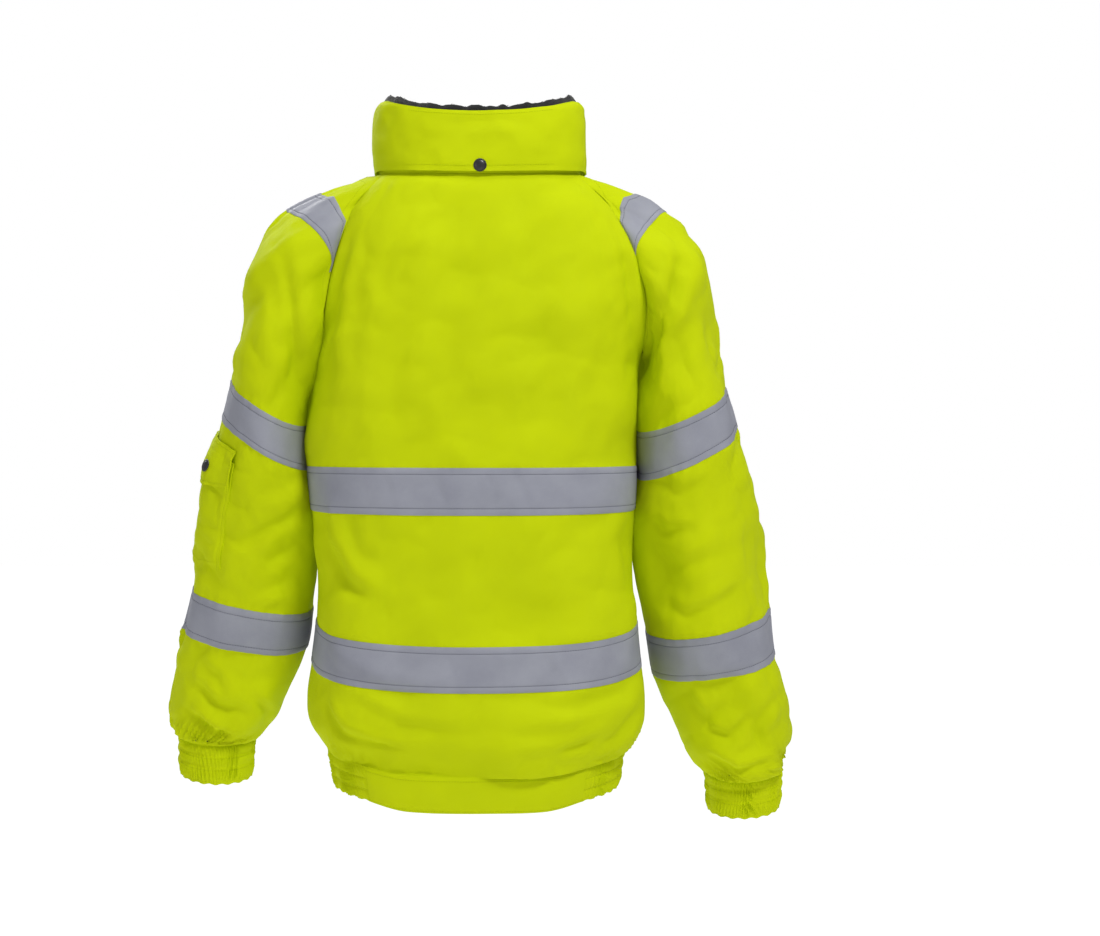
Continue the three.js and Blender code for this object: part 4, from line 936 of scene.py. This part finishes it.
cuffSettings = {"rows": [0.5, 13, 26, 44], "puff": 1.3, "puckerSize": 7.0, "puckerDepth": 3.2}
cuffGrids = {}
for name, side in sides.items():
    c = cuffSettings
    turns = np.linspace(0, 2 * math.pi, 241)[:-1]
    grid = []
    downs = np.linspace(-2.5, cut["cuffHeight"], 38)
    for d in downs:
        narrow = 2 + 4 * d / cut["cuffHeight"]
        ring = sleeveRings[-1] + np.array([narrow * 0.6 + 8, d / cut["reach"][name], -narrow, 0, 0, -narrow / 4, 0])
        grid.append(ringPoint(ring, turns, cut["reach"][name]))
    grid = np.array(grid) * np.array([side, 1, 1])
    normals = gridNormals(grid, rowHub(grid), True)
    arc, down = gridLengths(grid, True)
    relief = gathered(arc[:, :-1], down, c["rows"], c["puckerSize"], c["puff"], c["puckerDepth"], 160 + side)
    outerGrid = grid + normals * (relief * ramp(down, -1, 3) - 2.4 * np.exp(-((down / 2.6) ** 2)))[..., None]
    outerGrid[..., 2] += 0.8 * np.sin(arc[:, :-1] * 2 * math.pi / 15) * ramp(down, 32, 44)
    addCloth(f"cuff_{name}", "cloth", "hi_vis_fabric", yellow, outerGrid,
             gridNormals(outerGrid, rowHub(outerGrid), True), 0, -clothThickness,
             True)
    cuffGrids[name] = outerGrid
    ribs = 0.3 * np.abs(np.sin(down * math.pi / 3.3)) + 0.25 * np.sin(arc[:, :-1] * 2 * math.pi / 4)
    addCloth(f"cuff_elastic_{name}", "band", "elastic", elasticWhite, grid[5:-4], normals[5:-4], -3.1,
             -4.4 - ribs[5:-4], True)
print("cuffs made")


collarSettings = {"standOff": 4.2, "coverThickness": 1.6, "coverAngle": 117, "waviness": 0.9}
collarZipAngle = math.pi - math.asin(cut["zipEdge"] / cut["neckHalfWidth"])
fleeceAngle = math.pi - math.asin(22 / cut["neckHalfWidth"])


def collarPatch(halfAngle, shares, columns):
    angles = np.linspace(-halfAngle, halfAngle, columns)[None, :]
    points = collarPoint(angles, np.asarray(shares)[:, None])
    normals = gridNormals(points, bodyHub(points))
    arc, down = gridLengths(points)
    return points, normals, arc, down


shares = np.linspace(-0.03, 1.0, 44)
grid, normals, arc, down = collarPatch(collarZipAngle, shares, 220)
relief = collarSettings["waviness"] * waves(arc, down, 30, 201) * 0.6
relief = relief + edgeDip(down) * 0.8 - 1.0 * np.exp(-(((down.max() - down) / 1.4) ** 2))
grid = grid + normals * relief[..., None]
addCloth("collar_stand", "cloth", "hi_vis_fabric", yellow, grid, gridNormals(grid, bodyHub(grid)), 0,
         -clothThickness)
addStitches("jacket", "yellow", grid[-5], normals[-5], 0.1)

shares = np.linspace(0.02, 1.06, 50)
fleeceGrid, normals, arc, down = collarPatch(fleeceAngle, shares, 230)
curls = 0.9 * waves(arc, down, 4.2, 211) + 0.7 * waves(arc, down, 2.6, 212)
crown = (2.6 + 1.4 * waves(arc, down * 0, 7, 213)) * ramp(shares, 0.9, 1.06)[:, None]
fleeceGrid[..., 2] += crown
addCloth("collar_fleece", "pile", "fleece", fleeceBlack, fleeceGrid, normals, -1.7 + np.minimum(curls, 0) * 0.3,
         -6.8 - curls)

shares = np.linspace(0.27, 0.79, 26)
hoodGrid, normals, arc, down = collarPatch(math.radians(72), shares, 120)
rolls = 0.7 * np.abs(np.sin(down * math.pi / 12 + waves(arc, down, 30, 221)))
piece = thickSheet("packed_hood_roll", hoodGrid, normals, 2.7 + rolls, 0.5)
seat(piece, "jacket", "hi_vis_fabric", yellow, "packed_hood")

c = collarSettings
shares = np.concatenate([np.linspace(0.035, 0.88, 40), np.linspace(0.9, 0.965, 6)])
coverGrid, normals, arc, down = collarPatch(math.radians(c["coverAngle"]), shares, 190)
fromEnd = np.abs(arc[:, -1:]) - np.abs(arc)
stand = 0.5 + (c["standOff"] - 0.5) * ramp(fromEnd, 0, 26) * ramp(down.max() - down, -1, 9)
puff = 0.8 * np.sin(np.clip(down / down.max(), 0, 1) * math.pi)
relief = stand + puff + 1.3 * c["waviness"] * waves(arc, down * 0.7, 44, 231) * ramp(down.max() - down, 2, 14)
relief = relief + 0.7 * waves(arc, down, 17, 232) * ramp(down.max() - down, 2, 12)
relief = relief + foldAlong(arc, down, [(-70, 46), (-20, 58), (60, 50)], 7, 1.2)
relief = relief + foldAlong(arc, down, [(86, 12), (60, 34), (24, 40)], 8, 1.0)
relief = relief + 0.9 * np.exp(-((down / 3) ** 2))
relief = relief - 0.5 * np.exp(-((fromEnd / 2) ** 2))
coverFace = coverGrid + normals * relief[..., None]
coverNormals = gridNormals(coverFace, bodyHub(coverFace))
cover = thickSheet("hood_cover_flap_cloth", coverFace, coverNormals, c["coverThickness"], 0)
bendOpen(cover, "hood_cover_flap")
print("collar made")


def revolve(name, profile, place, normal, segments=40):
    turns = np.linspace(0, 2 * math.pi, segments + 1)[:-1]
    up = Vector(normal).to_track_quat("Z", "Y").to_matrix()
    vertices, faces = [], []
    for radius, height in profile:
        if radius < 1e-6:
            vertices.append([(0, 0, height)])
        else:
            vertices.append([(radius * math.cos(t), radius * math.sin(t), height) for t in turns])
    flat, starts = [], []
    for ring in vertices:
        starts.append(len(flat))
        flat += ring
    for k in range(len(vertices) - 1):
        low, high, n = starts[k], starts[k + 1], segments
        for i in range(n):
            nextTurn = (i + 1) % n
            if len(vertices[k]) == 1:
                faces.append((low, high + nextTurn, high + i))
            elif len(vertices[k + 1]) == 1:
                faces.append((low + i, low + nextTurn, high))
            else:
                faces.append((low + i, low + nextTurn, high + nextTurn, high + i))
    world = np.array([up @ Vector(v) for v in flat]) + np.asarray(place)
    return newPiece(name, toFrame(world), [face[::-1] for face in faces], sharp=40)


capProfile = [(0, 2.35), (1.6, 2.32), (3.4, 2.1), (4.9, 1.75), (5.4, 1.35), (5.7, 1.3), (6.3, 1.5), (6.9, 1.45),
              (7.35, 1.05), (7.5, 0.6), (7.3, 0.15), (6.6, 0), (0, 0)]
socketProfile = [(0, 1), (1.8, 1), (2.1, 0.75), (3.2, 0.75), (3.6, 1), (5, 0.95), (5.5, 0.6), (5.6, 0.25),
                 (5.2, 0), (0, 0)]


def addStud(name, body, place, normal, base, lift):
    place, normal = np.asarray(place), np.asarray(normal)
    cap = revolve(f"{name}_cap_dome", capProfile, place + normal * lift, normal)
    seat(cap, body, "stud_metal", studMetal, f"{name}_cap")
    tall = max(lift - base - 2.2, 0.6)
    profile = [(r, h * tall) for r, h in socketProfile]
    socket = revolve(f"{name}_socket_ring", profile, place + normal * base, normal, 32)
    seat(socket, "jacket", "stud_metal", studMetal, f"{name}_socket")


middle = coverFace.shape[1] // 2
row = int(np.argmin(np.abs(shares - 0.13)))
studAt = (coverFace[row, middle - 1] + coverFace[row, middle]) / 2
addStud("collar_stud", "collar_cover", studAt, coverNormals[row, middle], -3.9, 1.45)


span = np.linspace(-28, 28, 71)
fleeceInner = collarPoint(0.0, 0.0)[1] - 7.7
reachUp = np.clip((20 - np.abs(span)) / 12, 0, 1)
bow = 0.5 + 9 * (1 - (1 - reachUp) ** 2)
loopY = fleeceInner - bow - 0.012 * np.abs(span) ** 1.4
heights = np.linspace(4, -4, 7)[:, None]
grid = np.stack([np.broadcast_to(part, (7, 71)) for part in (span, loopY, heights)], -1)
normals = gridNormals(grid, np.array([0, 300.0, 0]))
ribs = 0.12 * np.sin(heights * math.pi / 1.3) * np.ones((1, 71))
piece = thickSheet("hang_loop_webbing", grid, normals, 1.35 + ribs, 0)
seat(piece, "jacket", "zip_cloth", blackWebbing, "hang_loop")
print("studs and hang loop made")


pocketSettings = {"turn": math.radians(22.5), "halfTurn": math.radians(33.75), "top": 5.28,
                  "flapDrop": 48, "flapPoint": 8, "rise": 1.6, "flapStand": 3.4, "middleColumn": 30, "studRow": 27}
leftSleeve = sleeves["left"]


def alongBelow(along, millimetres):  # ring position that far below another, on the outside of the sleeve
    column = int(round(pocketSettings["turn"] / turnStep))
    downAt = leftSleeve["down"][:, column]
    return np.interp(np.interp(along, alongRows, downAt) + millimetres, downAt, alongRows)


def sleevePocketAt(across, millimetres):
    p = pocketSettings
    turn = p["turn"] + (2 * across - 1) * p["halfTurn"]
    return onSleeve(leftSleeve, turn, alongBelow(p["top"], millimetres))


def frontPocketAt(side):
    def sample(across, millimetres):
        drop = chestTapeDrop + 62 + millimetres
        share = 0.3 + across * 0.42
        x = side * share * chest
        points = bodyPoint(-1, x, drop)
        down = bodyPoint(-1, x, drop + 1) - points
        sideways = bodyPoint(-1, x + side, drop) - points
        normals = np.cross(down, sideways)
        normals /= np.linalg.norm(normals, axis=-1, keepdims=True)
        normals = normals * np.where(normals[..., 1:2] > 0, -1, 1)
        relief = bodyRelief(points, -1, drop, across * 40)
        return [points + normals * (relief + 0.6)[..., None], normals]

    return sample


def addPocket(name, body, sampleAt, height, pointed):
    p = pocketSettings
    middle = p["middleColumn"]
    across, share = np.meshgrid(np.linspace(0, 1, 61), np.linspace(0, 1, 60))
    point = p["flapPoint"] * (1 - np.abs(2 * across - 1)) * (1 if pointed else 0.0)
    corner = 0 if pointed else 5.0 * np.maximum(0, np.abs(2 * across - 1) - 0.86) / 0.14
    grid, normals = sampleAt(across, 16 + share * (height - corner) + share * point)
    inset = np.minimum(np.minimum(across, 1 - across) * 90, (1 - share) * height)
    relief = 0.5 + p["rise"] * ramp(inset, 0, 10) + 0.9 * waves(across * 60, share * height, 24, len(name))
    relief = relief - 0.35 * np.exp(-(((inset - 4.2) / 0.9) ** 2))
    face = grid + normals * relief[..., None]
    addCloth(name, "cloth", "hi_vis_fabric", yellow, face, normals, 1.1, -0.6)
    pocketFace = face
    columns = [3, 57]
    for column in columns:
        addStitches("jacket", "yellow", face[:, column], normals[:, column], 1.2)
    addStitches("jacket", "yellow", face[-5, 3:58], normals[-5, 3:58], 1.2)
    share = share[:45]
    across = across[:45]
    share = share / share.max()
    point = p["flapPoint"] * (1 - np.abs(2 * across - 1))
    grid, normals = sampleAt(across, share * (p["flapDrop"] + point))
    stand = 1.3 + p["flapStand"] * ramp(share * 48, 0, 14)
    inset = np.minimum(np.minimum(across, 1 - across) * 90, (1 - share) * 50)
    stand = stand - 0.35 * np.exp(-(((inset - 4) / 0.9) ** 2)) + 0.5 * waves(across * 70, share * 50, 26, 9)
    face = grid + normals * stand[..., None]
    flap = thickSheet(f"{name}_flap_cloth", face, normals, 1.4, 0)
    bendOpen(flap, f"{name}_flap")
    for column in columns:
        addStitches(body, "yellow", face[14:, column], normals[14:, column], 1.55)
    addStitches(body, "yellow", face[-5, 3:58], normals[-5, 3:58], 1.55)
    addStitches("jacket", "yellow", face[3, 3:58], normals[3, 3:58], 1.55)
    row = p["studRow"]
    studPlace, studUp = face[row, middle], normals[row, middle]
    nearest = np.argmin(np.linalg.norm(pocketFace - studPlace, axis=-1))
    toPocket = float((pocketFace.reshape(-1, 3)[nearest] - studPlace) @ studUp)
    addStud(f"{name}_stud", body, studPlace, studUp, toPocket + 1.5, 1.35)


addPocket("sleeve_pocket", "sleeve_flap", sleevePocketAt, 130, True)
for name, side in sides.items():
    addPocket(f"front_pocket_{name}", f"pocket_flap_{name}", frontPocketAt(side), 84, False)
print("pockets and flaps made")


zipSettings = {"tapeStart": 3.35, "tapeWidth": 13, "chainTop": 46, "chainBottom": -695, "pitch": 2.9, "depth": -2.4}


def zipLine(heights):
    heights = np.asarray(heights, float)
    return np.stack([np.zeros_like(heights), -zipDepthAt(heights), heights], -1)


zipOut = np.array([0, -1, zipSlope]) / math.hypot(1, zipSlope)
for name, side in sides.items():
    z = zipSettings
    heights = np.linspace(z["chainTop"], z["chainBottom"], 240)[:, None]
    across = z["tapeStart"] + np.linspace(0, z["tapeWidth"], 9)[None, :]
    grid = zipLine(np.broadcast_to(heights, (240, 9))) + across[..., None] * np.array([side, 0, 0])
    grid = grid + (0.15 * waves(across, heights, 30, 301))[..., None] * zipOut
    normals = np.broadcast_to(zipOut, grid.shape)
    addCloth(f"zip_tape_{name}", "webbing", "zip_cloth", blackWebbing, grid, normals, -2.05, -2.75)
    panel = panels[f"front_{name}"]
    for column in (3, 6):
        addStitches("jacket", "yellow", panel["points"][4:-4, column], panel["normals"][4:-4, column], 0.12)

drops = np.linspace(cut["underarmDrop"] * 0.45, bandDrop - 14, 150)[:, None]
across = np.linspace(24, -32, 26)[None, :]
grid = zipLine(np.broadcast_to(-drops, (150, 26))) + across[..., None] * np.array([1, 0, 0])
normals = np.broadcast_to(zipOut, grid.shape)
relief = 0.3 * waves(across, drops, 26, 311) - 0.4 * np.exp(-(((across + 28) / 1) ** 2))
piece = thickSheet("wind_placket_cloth", grid, normals, -5.95 + np.minimum(relief, 0.05), -6.9 + relief)
seat(piece, "placket", "lining_fabric", liningDark, "wind_placket")

for nodeName, material, edge in (("zip_slider", studMetal, 0.00022),
                                 ("zip_pull", zipPlastic, 0.0003),
                                 ("zip_bottom_box", studMetal, 0.0004)):
    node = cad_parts[nodeName]
    node.data.materials.clear()
    node.data.materials.append(material)
    weld = node.modifiers.new("joinCorners", "WELD")
    weld.merge_threshold = 0.00002
    soften = node.modifiers.new("softEdges", "BEVEL")
    soften.width = edge
    soften.segments = 2
    soften.limit_method = "ANGLE"
print("zip and placket made")


def newNodes(name, sockets):
    group = bpy.data.node_groups.new(name, "GeometryNodeTree")
    group.interface.new_socket(name="Geometry", in_out="INPUT", socket_type="NodeSocketGeometry")
    for label, kind, value in sockets:
        socket = group.interface.new_socket(name=label, in_out="INPUT", socket_type=kind)
        if value is not None:
            socket.default_value = value
    group.interface.new_socket(name="Geometry", in_out="OUTPUT", socket_type="NodeSocketGeometry")
    given = group.nodes.new("NodeGroupInput")
    group.nodes.new("NodeGroupOutput")
    return group, given


def placeAndPaint(group, points, thing, rotate):  # an instance on every point, made real and given its material
    nodes, links = group.nodes, group.links
    place = nodes.new("GeometryNodeInstanceOnPoints")
    links.new(points, place.inputs["Points"])
    links.new(thing.outputs["Geometry"], place.inputs["Instance"])
    links.new(rotate.outputs["Rotation"], place.inputs["Rotation"])
    realize = nodes.new("GeometryNodeRealizeInstances")
    links.new(place.outputs["Instances"], realize.inputs[0])
    paint = nodes.new("GeometryNodeSetMaterial")
    links.new(realize.outputs[0], paint.inputs["Geometry"])
    links.new(nodes["Group Input"].outputs["Material"], paint.inputs["Material"])
    links.new(paint.outputs[0], nodes["Group Output"].inputs["Geometry"])


def runAlongLine():  # one small thing every pitch along a line, turned to lie on the surface
    group, given = newNodes("thingsAlongLine", [
        ("Pitch", "NodeSocketFloat", 0.0032), ("Thing", "NodeSocketObject", None),
        ("Turn Jitter", "NodeSocketFloat", 0.06), ("Seed", "NodeSocketInt", 5),
        ("Material", "NodeSocketMaterial", None)])
    nodes, links = group.nodes, group.links
    curve = nodes.new("GeometryNodeMeshToCurve")
    links.new(given.outputs["Geometry"], curve.inputs["Mesh"])
    resample = nodes.new("GeometryNodeResampleCurve")
    resample.mode = "LENGTH"
    links.new(curve.outputs["Curve"], resample.inputs["Curve"])
    links.new(given.outputs["Pitch"], resample.inputs["Length"])
    up = nodes.new("GeometryNodeInputNamedAttribute")
    up.data_type = "FLOAT_VECTOR"
    up.inputs["Name"].default_value = "surfaceUp"
    tangent = nodes.new("GeometryNodeInputTangent")
    turn = nodes.new("FunctionNodeAxesToRotation")
    turn.primary_axis, turn.secondary_axis = "Z", "X"
    links.new(up.outputs["Attribute"], turn.inputs["Primary Axis"])
    links.new(tangent.outputs["Tangent"], turn.inputs["Secondary Axis"])
    jitter = nodes.new("FunctionNodeRandomValue")
    jitter.data_type = "FLOAT"
    negative = nodes.new("ShaderNodeMath")
    negative.operation = "MULTIPLY"
    negative.inputs[1].default_value = -1
    links.new(given.outputs["Turn Jitter"], negative.inputs[0])
    floatSockets = [s for s in jitter.inputs if s.type == "VALUE"]
    links.new(negative.outputs[0], floatSockets[0])
    links.new(given.outputs["Turn Jitter"], floatSockets[1])
    links.new(given.outputs["Seed"], jitter.inputs["Seed"])
    spin = nodes.new("ShaderNodeCombineXYZ")
    links.new([s for s in jitter.outputs if s.type == "VALUE"][0], spin.inputs["Z"])
    rotate = nodes.new("FunctionNodeRotateRotation")
    rotate.rotation_space = "LOCAL"
    links.new(turn.outputs["Rotation"], rotate.inputs["Rotation"])
    links.new(spin.outputs[0], rotate.inputs["Rotate By"])
    thing = nodes.new("GeometryNodeObjectInfo")
    links.new(given.outputs["Thing"], thing.inputs["Object"])
    placeAndPaint(group, resample.outputs["Curve"], thing, rotate)
    return group


def setInputs(modifier, group, values):
    for item in group.interface.items_tree:
        if item.item_type == "SOCKET" and item.in_out == "INPUT" and item.name in values:
            modifier[item.identifier] = values[item.name]


def looseObject(name, mesh):
    thing = bpy.data.objects.new(name, mesh)
    bpy.context.scene.collection.objects.link(thing)
    return thing


def looseShape(name, vertices, faces):  # given in millimetres
    mesh = bpy.data.meshes.new(name)
    mesh.from_pydata((np.array(vertices) / 1000).tolist(), [], faces)
    mesh.shade_smooth()
    return looseObject(name, mesh)


def smallThing(name, sections):  # a closed loft along x through (x, half width, bottom, top)
    vertices, faces = [], []
    for x, half, low, high in sections:
        vertices += [(x, -half, low), (x, half, low), (x, half * 0.6, high), (x, -half * 0.6, high)]
    for k in range(len(sections) - 1):
        for i in range(4):
            a, b = 4 * k + i, 4 * k + (i + 1) % 4
            faces.append((a, b, b + 4, a + 4))
    last = 4 * (len(sections) - 1)
    faces += [(3, 2, 1, 0), (last, last + 1, last + 2, last + 3)]
    thing = looseShape(name, vertices, faces)
    thing.data.flip_normals()
    return thing


alongLine = runAlongLine()
stitchThing = smallThing("stitchShape", [(-1.25, 0.08, -0.25, -0.12), (-0.9, 0.24, -0.2, 0.12), (0, 0.3, -0.15, 0.26),
                                         (0.9, 0.24, -0.2, 0.12), (1.25, 0.08, -0.25, -0.12)])
toothThing = smallThing("toothShape", [(-1.1, 0.7, -1.1, 1.1), (-0.5, 1.3, -1.15, 1.15), (0.5, 1.3, -1.15, 1.15),
                                       (1.1, 0.7, -1.1, 1.1)])


def madeBy(group, name, mesh, values):  # what the node group makes on the mesh, as one new object
    bed = looseObject(name + "Bed", mesh)
    modifier = bed.modifiers.new("repeated", "NODES")
    modifier.node_group = group
    setInputs(modifier, group, values)
    bpy.context.view_layer.update()
    made = bpy.data.meshes.new_from_object(bed.evaluated_get(bpy.context.evaluated_depsgraph_get()))
    bpy.data.objects.remove(bed)
    print(f"{name}: {len(made.polygons)} faces")
    return looseObject(name, made)


def layAlong(name, lines, thing, pitch, jitter, material, body, nodes=()):
    vertices, edges, ups = [], [], []
    for points, normals in lines:
        start = len(vertices)
        vertices += points.tolist()
        ups += normals.tolist()
        edges += [(start + k, start + k + 1) for k in range(len(points) - 1)]
    mesh = bpy.data.meshes.new(name + "Path")
    mesh.from_pydata(vertices, edges, [])
    attribute = mesh.attributes.new("surfaceUp", "FLOAT_VECTOR", "POINT")
    attribute.data.foreach_set("vector", np.array(ups, np.float32).ravel())
    piece = madeBy(alongLine, name, mesh, {
        "Pitch": pitch, "Thing": thing, "Turn Jitter": jitter, "Seed": 5, "Material": material})
    if not piece.data.materials:
        piece.data.materials.append(material)
    if nodes:
        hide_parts(*nodes)
    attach(piece, body)


for name in sides:  # seams of the panels, the waistband and the cuffs
    sleeve = sleeves[name]
    ring = np.concatenate([sleeve["points"][5], sleeve["points"][5][:1]])
    up = np.concatenate([sleeve["normals"][5], sleeve["normals"][5][:1]])
    addStitches("jacket", "yellow", ring, up, 0.12)
    for k in (13, 24):
        cuffLine = cuffGrids[name]
        up = gridNormals(cuffLine, rowHub(cuffLine), True)
        addStitches("jacket", "yellow", np.concatenate([cuffLine[k], cuffLine[k][:1]]),
                    np.concatenate([up[k], up[k][:1]]), 0.1)
    bandLine = bandGrids[name]
    up = gridNormals(bandLine, bodyHub(bandLine))
    for k in (13, 24):
        addStitches("jacket", "yellow", bandLine[k], up[k], 0.1)
bandLine = bandGrids["back"]
up = gridNormals(bandLine, bodyHub(bandLine))
for k in (4, 33):
    addStitches("jacket", "yellow", bandLine[k], up[k], 0.12)
for k in (4, -5):
    addStitches("collar_cover", "yellow", coverFace[k, 60:-60], coverNormals[k, 60:-60], c["coverThickness"] + 0.12)

threads = {"grey": greyThread, "yellow": yellowTrim}
for (body, threadName), lines in stitchLines.items():
    layAlong(f"{body}_{threadName}_stitching", lines, stitchThing, 0.0031, 0.05, threads[threadName],
             body)
for name, side in sides.items():
    z = zipSettings
    shift = 0 if side > 0 else z["pitch"] / 2
    heights = np.linspace(z["chainTop"] - shift, z["chainBottom"] + 1, 200)
    line = zipLine(heights) + np.array([side * 1.85, 0, 0]) + zipOut * z["depth"]
    layAlong(f"zip_teeth_{name}_row", [(toFrame(line), np.tile(zipOut, (200, 1)))], toothThing, 0.0029, 0,
             zipPlastic, "jacket", [f"zip_teeth_{name}"])


def tuftsOnPile():  # small curls scattered over the pile, with a fixed seed
    group, given = newNodes("pileCurls", [
        ("Density", "NodeSocketFloat", 30000.0), ("Tuft", "NodeSocketObject", None), ("Seed", "NodeSocketInt", 3),
        ("Material", "NodeSocketMaterial", None)])
    nodes, links = group.nodes, group.links
    scatter = nodes.new("GeometryNodeDistributePointsOnFaces")
    links.new(given.outputs["Geometry"], scatter.inputs["Mesh"])
    links.new(given.outputs["Density"], scatter.inputs["Density"])
    links.new(given.outputs["Seed"], scatter.inputs["Seed"])
    spin = nodes.new("FunctionNodeRandomValue")
    spin.data_type = "FLOAT_VECTOR"
    vectors = [s for s in spin.inputs if s.type == "VECTOR"]
    vectors[0].default_value, vectors[1].default_value = (-0.8, -0.8, 0), (0.8, 0.8, 6.28)
    links.new(given.outputs["Seed"], spin.inputs["Seed"])
    toTurn = nodes.new("FunctionNodeEulerToRotation")
    links.new([s for s in spin.outputs if s.type == "VECTOR"][0], toTurn.inputs[0])
    rotate = nodes.new("FunctionNodeRotateRotation")
    rotate.rotation_space = "LOCAL"
    links.new(scatter.outputs["Rotation"], rotate.inputs["Rotation"])
    links.new(toTurn.outputs[0], rotate.inputs["Rotate By"])
    thing = nodes.new("GeometryNodeObjectInfo")
    links.new(given.outputs["Tuft"], thing.inputs["Object"])
    placeAndPaint(group, scatter.outputs["Points"], thing, rotate)
    return group


def curlShape():
    t = np.linspace(0, 1, 9)
    turn = t * 5.0
    centre = np.stack([np.cos(turn) * 0.9 * (1 - 0.4 * t), np.sin(turn) * 0.9 * (1 - 0.4 * t), t * 2.0 - 0.5], -1)
    vertices, faces = [], []
    for k, (x, y, z) in enumerate(centre):
        girth = 0.42 * (1 - 0.6 * t[k])
        vertices += [(x + girth, y, z), (x - girth / 2, y + girth, z), (x - girth / 2, y - girth, z)]
    for k in range(8):
        for i in range(3):
            a, b = 3 * k + i, 3 * k + (i + 1) % 3
            faces.append((a, b, b + 3, a + 3))
    faces += [(2, 1, 0), (24, 25, 26)]
    return looseShape("curlShape", vertices, faces)


curl = curlShape()
pileGroup = tuftsOnPile()
pileNormals = gridNormals(fleeceGrid, bodyHub(fleeceGrid))
inside = fleeceGrid - pileNormals * 7.4
topEdge = np.stack([fleeceGrid[-1] - offset * pileNormals[-1] for offset in (2.0, 7.0)])
patches = [inside[::3, ::3], topEdge[:, ::2]]
vertices, faces = [], []
for number, patch in enumerate(patches):
    start = len(vertices)
    rowCount, columnCount = patch.shape[:2]
    vertices += toFrame(patch).reshape(-1, 3).tolist()
    for j in range(rowCount - 1):
        for i in range(columnCount - 1):
            a = start + j * columnCount + i
            face = (a, a + columnCount, a + columnCount + 1, a + 1)
            faces.append(face if number else face[::-1])
mesh = bpy.data.meshes.new("pileBed")
mesh.from_pydata(vertices, [], faces)
pile = madeBy(pileGroup, "collar_fleece_curls", mesh, {
    "Density": 76000.0, "Tuft": curl, "Seed": 3, "Material": fleeceBlack})
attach(pile, "jacket")
for thing in (stitchThing, toothThing, curl):
    bpy.data.objects.remove(thing)
print("stitches, teeth and curls made")


def studio():
    scene = bpy.context.scene
    scene.view_settings.view_transform = "Standard"
    scene.view_settings.look = "None"
    world = bpy.data.worlds.new("whiteRoom")
    world.use_nodes = True
    graph = world.node_tree
    graph.nodes["Background"].inputs[0].default_value = (1, 1, 1, 1)
    graph.nodes["Background"].inputs[1].default_value = 0.3
    seen = graph.nodes.new("ShaderNodeBackground")
    seen.inputs[0].default_value = (1, 1, 1, 1)
    rays = graph.nodes.new("ShaderNodeLightPath")
    mixed = graph.nodes.new("ShaderNodeMixShader")
    graph.links.new(rays.outputs["Is Camera Ray"], mixed.inputs[0])
    graph.links.new(graph.nodes["Background"].outputs[0], mixed.inputs[1])
    graph.links.new(seen.outputs[0], mixed.inputs[2])
    graph.links.new(mixed.outputs[0], graph.nodes["World Output"].inputs[0])
    scene.world = world
    mesh = bpy.data.meshes.new("studioFloor")
    size, level = 30, -1.6
    mesh.from_pydata([(-size, -size, level), (size, -size, level), (size, size, level), (-size, size, level)],
                     [], [(0, 1, 2, 3)])
    floor = bpy.data.objects.new("studioFloor", mesh)
    scene.collection.objects.link(floor)
    paint = bpy.data.materials.new("paleFloor")
    paint.use_nodes = True
    graph = paint.node_tree
    shader = graph.nodes["Principled BSDF"]
    noise = graph.nodes.new("ShaderNodeTexNoise")
    noise.inputs["Scale"].default_value = 2
    tint = graph.nodes.new("ShaderNodeMix")
    tint.data_type = "RGBA"
    tint.inputs["A"].default_value = (0.97, 0.97, 0.97, 1)
    tint.inputs["B"].default_value = (0.95, 0.95, 0.95, 1)
    graph.links.new(noise.outputs[0], tint.inputs["Factor"])
    graph.links.new(tint.outputs["Result"], shader.inputs["Base Color"])
    graph.links.new(tint.outputs["Result"], shader.inputs["Emission Color"])
    bright = graph.nodes.new("ShaderNodeLightPath")
    glow = mathNode(graph, "MULTIPLY_ADD", bright.outputs["Is Camera Ray"], 0.6, 0.2)
    graph.links.new(glow, shader.inputs["Emission Strength"])
    shader.inputs["Roughness"].default_value = 0.9
    shader.inputs["Specular IOR Level"].default_value = 0.0
    mesh.materials.append(paint)
    for name, place, size, power in (
            ("keyLight", (-1.3, 2.0, 2.3), 0.8, 72), ("fillLight", (2.6, 2.0, 0.1), 1.6, 11),
            ("frontLight", (1.5, -2.6, 1.5), 1.2, 56), ("topLight", (0, 0.5, 2.6), 1.0, 20)):
        light = bpy.data.lights.new(name, "AREA")
        light.size, light.energy = size, power
        lamp = bpy.data.objects.new(name, light)
        lamp.location = place
        lamp.rotation_euler = (Vector((0, -0.08, -0.35)) - Vector(place)).to_track_quat("-Z", "Y").to_euler()
        scene.collection.objects.link(lamp)
    view = bpy.data.cameras.new("studioCamera")
    view.sensor_width = 36
    view.lens = 84.4
    view.shift_x = 0.0636
    view.clip_end = 100
    camera = bpy.data.objects.new("studioCamera", view)
    camera.location = (0, 2.9215, -0.338)
    camera.rotation_euler = (quarter, 0, math.pi)
    scene.collection.objects.link(camera)
    scene.camera = camera


studio()
print("studio made")
